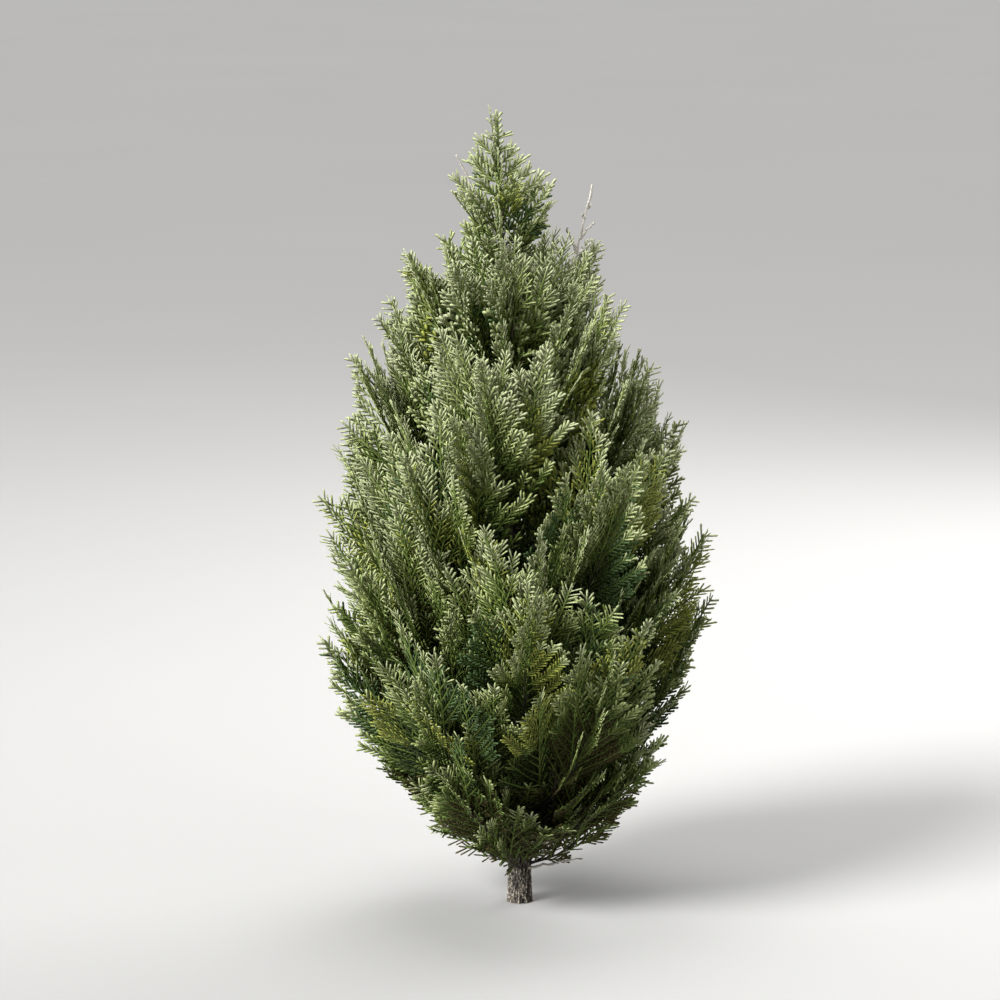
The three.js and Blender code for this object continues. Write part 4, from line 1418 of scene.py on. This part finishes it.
class SHRUB_OT_sprays(bpy.types.Operator):
    """Build the branchlets and the shoots of scale leaves, one piece for each green"""

    bl_idname = "shrub.sprays"
    bl_label = "Sprays"

    def execute(self, context):
        """Grows the crown, sweeps its branchlets and ribs, and deals its shoots out by green"""
        settings = context.scene.shrub_sprays
        shoots, kind, ribs, branchlets = grown_crown()
        green = leaf_material("branchlet green", settings.mid_colour)
        fresh_green = leaf_material("fresh branchlet green", settings.fresh_colour)
        ends = branchlets[:, -1]
        fresh = crown_depth(ends) + ends[:, 2] / HEIGHT > FRESH_FROM
        for name, rows, radii, sides, material in (
            ("branchlets", branchlets[~fresh], BRANCHLET_RADII, BRANCHLET_SIDES, green),
            ("fresh_branchlets", branchlets[fresh], BRANCHLET_RADII, BRANCHLET_SIDES, fresh_green),
            ("plume_ribs", ribs, RIB_RADII, RIB_SIDES, green),
        ):
            keep_piece(twig_piece(name, rows, tapered(rows, radii), sides, material))

        dealt = dealt_greens(shoots, kind)
        shape = shoot_shape()
        turns = euler_angles(shoots.way, shoots.across)
        foliage = nodes_called("foliage") + nodes_called("leader")
        for label, slot in GREEN_SLOTS.items():
            chosen = dealt == label
            columns = {"turn": turns[chosen], "reach": shoots.length[chosen], "girth": shoots.girth[chosen]}
            mesh = point_mesh(f"shoots_{label}", shoots.base[chosen], [], columns)
            values = {
                "Shoot Shape": shape,
                "Shoot Width": settings.shoot_width,
                "Shoot Thickness": settings.shoot_thickness,
                "Material": leaf_material(f"{label} scale leaves", getattr(settings, f"{label}_colour")),
            }
            keep_piece(made_by_nodes(f"shoots_{label}", mesh, shoot_tree(), values), foliage)
        bpy.data.objects.remove(shape)
        return {"FINISHED"}


class SHRUB_OT_stage(bpy.types.Operator):
    """Build the floor, the lights and the camera"""

    bl_idname = "shrub.stage"
    bl_label = "Stage"

    def execute(self, context):
        """A pale floor, soft light from the upper left, and the camera in front"""
        stage = context.scene.shrub_stage
        half = stage.floor_size / 2
        mesh = bpy.data.meshes.new("floor")
        corners = [(-half, -half, 0), (half, -half, 0), (half, half, 0), (-half, half, 0)]
        mesh.from_pydata(corners, [], [(0, 1, 2, 3)])
        mesh.materials.append(floor_material("pale floor", stage.floor_colour))
        new_object("floor", mesh)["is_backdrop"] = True

        self.add_light("key_light", "SUN", KEY_PLACE, stage.key_power).angle = KEY_SPREAD
        self.add_light("fill_light", "AREA", FILL_PLACE, stage.fill_power).size = LAMP_SIZE
        self.add_light("top_light", "AREA", TOP_PLACE, stage.top_power).size = LAMP_SIZE
        self.add_light("back_light", "AREA", BACK_PLACE, stage.back_power).size = LAMP_SIZE

        world = bpy.data.worlds.new("soft surroundings")
        world.use_nodes = True
        sky = world.node_tree.nodes["Background"]
        sky.inputs["Color"].default_value = SKY_COLOUR
        sky.inputs["Strength"].default_value = stage.sky_strength
        context.scene.world = world

        data = bpy.data.cameras.new("camera")
        data.lens = data.sensor_width * stage.view_distance / stage.view_width
        back = Vector((0, -math.cos(stage.view_rise), math.sin(stage.view_rise)))
        camera = new_object("camera", data)
        camera.location = AIM + back * stage.view_distance
        camera.rotation_euler = (-back).to_track_quat("-Z", "Y").to_euler()
        context.scene.camera = camera
        context.scene.view_settings.view_transform = "Standard"
        return {"FINISHED"}

    @staticmethod
    def add_light(name, kind, place, power):
        """The data of a new light that stands at a place and is turned to the crown's middle"""
        data = bpy.data.lights.new(name, kind)
        data.energy = power
        light = new_object(name, data)
        light.location = place
        light.rotation_euler = (AIM - place).to_track_quat("-Z", "Y").to_euler()
        return data


class SHRUB_PT_sidebar(bpy.types.Panel):
    """Lists the pieces of the shrub"""

    bl_idname = "SHRUB_PT_sidebar"
    bl_label = "Red Cedar Shrub"
    bl_space_type = "VIEW_3D"
    bl_region_type = "UI"
    bl_category = "Shrub"

    def draw(self, context):
        """Each piece's button, and the settings under them"""
        for operator in OPERATORS:
            self.layout.operator(operator.bl_idname)
        for group in (context.scene.shrub_wood, context.scene.shrub_sprays, context.scene.shrub_stage):
            box = self.layout.box()
            for name in group.__annotations__:
                box.prop(group, name)


OPERATORS = (
    SHRUB_OT_trunk,
    SHRUB_OT_boughs,
    SHRUB_OT_twigs,
    SHRUB_OT_dry_shoots,
    SHRUB_OT_sprays,
    SHRUB_OT_stage,
)
GROUPS = {"shrub_wood": WoodSettings, "shrub_sprays": SpraySettings, "shrub_stage": StageSettings}


def register():
    """Adds the settings, the operators and the panel"""
    for name, group in GROUPS.items():
        bpy.utils.register_class(group)
        setattr(bpy.types.Scene, name, PointerProperty(type=group))
    for operator in OPERATORS:
        bpy.utils.register_class(operator)
    bpy.utils.register_class(SHRUB_PT_sidebar)


def unregister():
    """Takes them out again"""
    bpy.utils.unregister_class(SHRUB_PT_sidebar)
    for operator in reversed(OPERATORS):
        bpy.utils.unregister_class(operator)
    for name, group in reversed(GROUPS.items()):
        delattr(bpy.types.Scene, name)
        bpy.utils.unregister_class(group)


def main():
    """Builds every piece in order"""
    register()
    bpy.ops.shrub.trunk()
    bpy.ops.shrub.boughs()
    bpy.ops.shrub.twigs()
    bpy.ops.shrub.dry_shoots()
    bpy.ops.shrub.sprays()
    bpy.ops.shrub.stage()


if __name__ == "__main__":
    main()
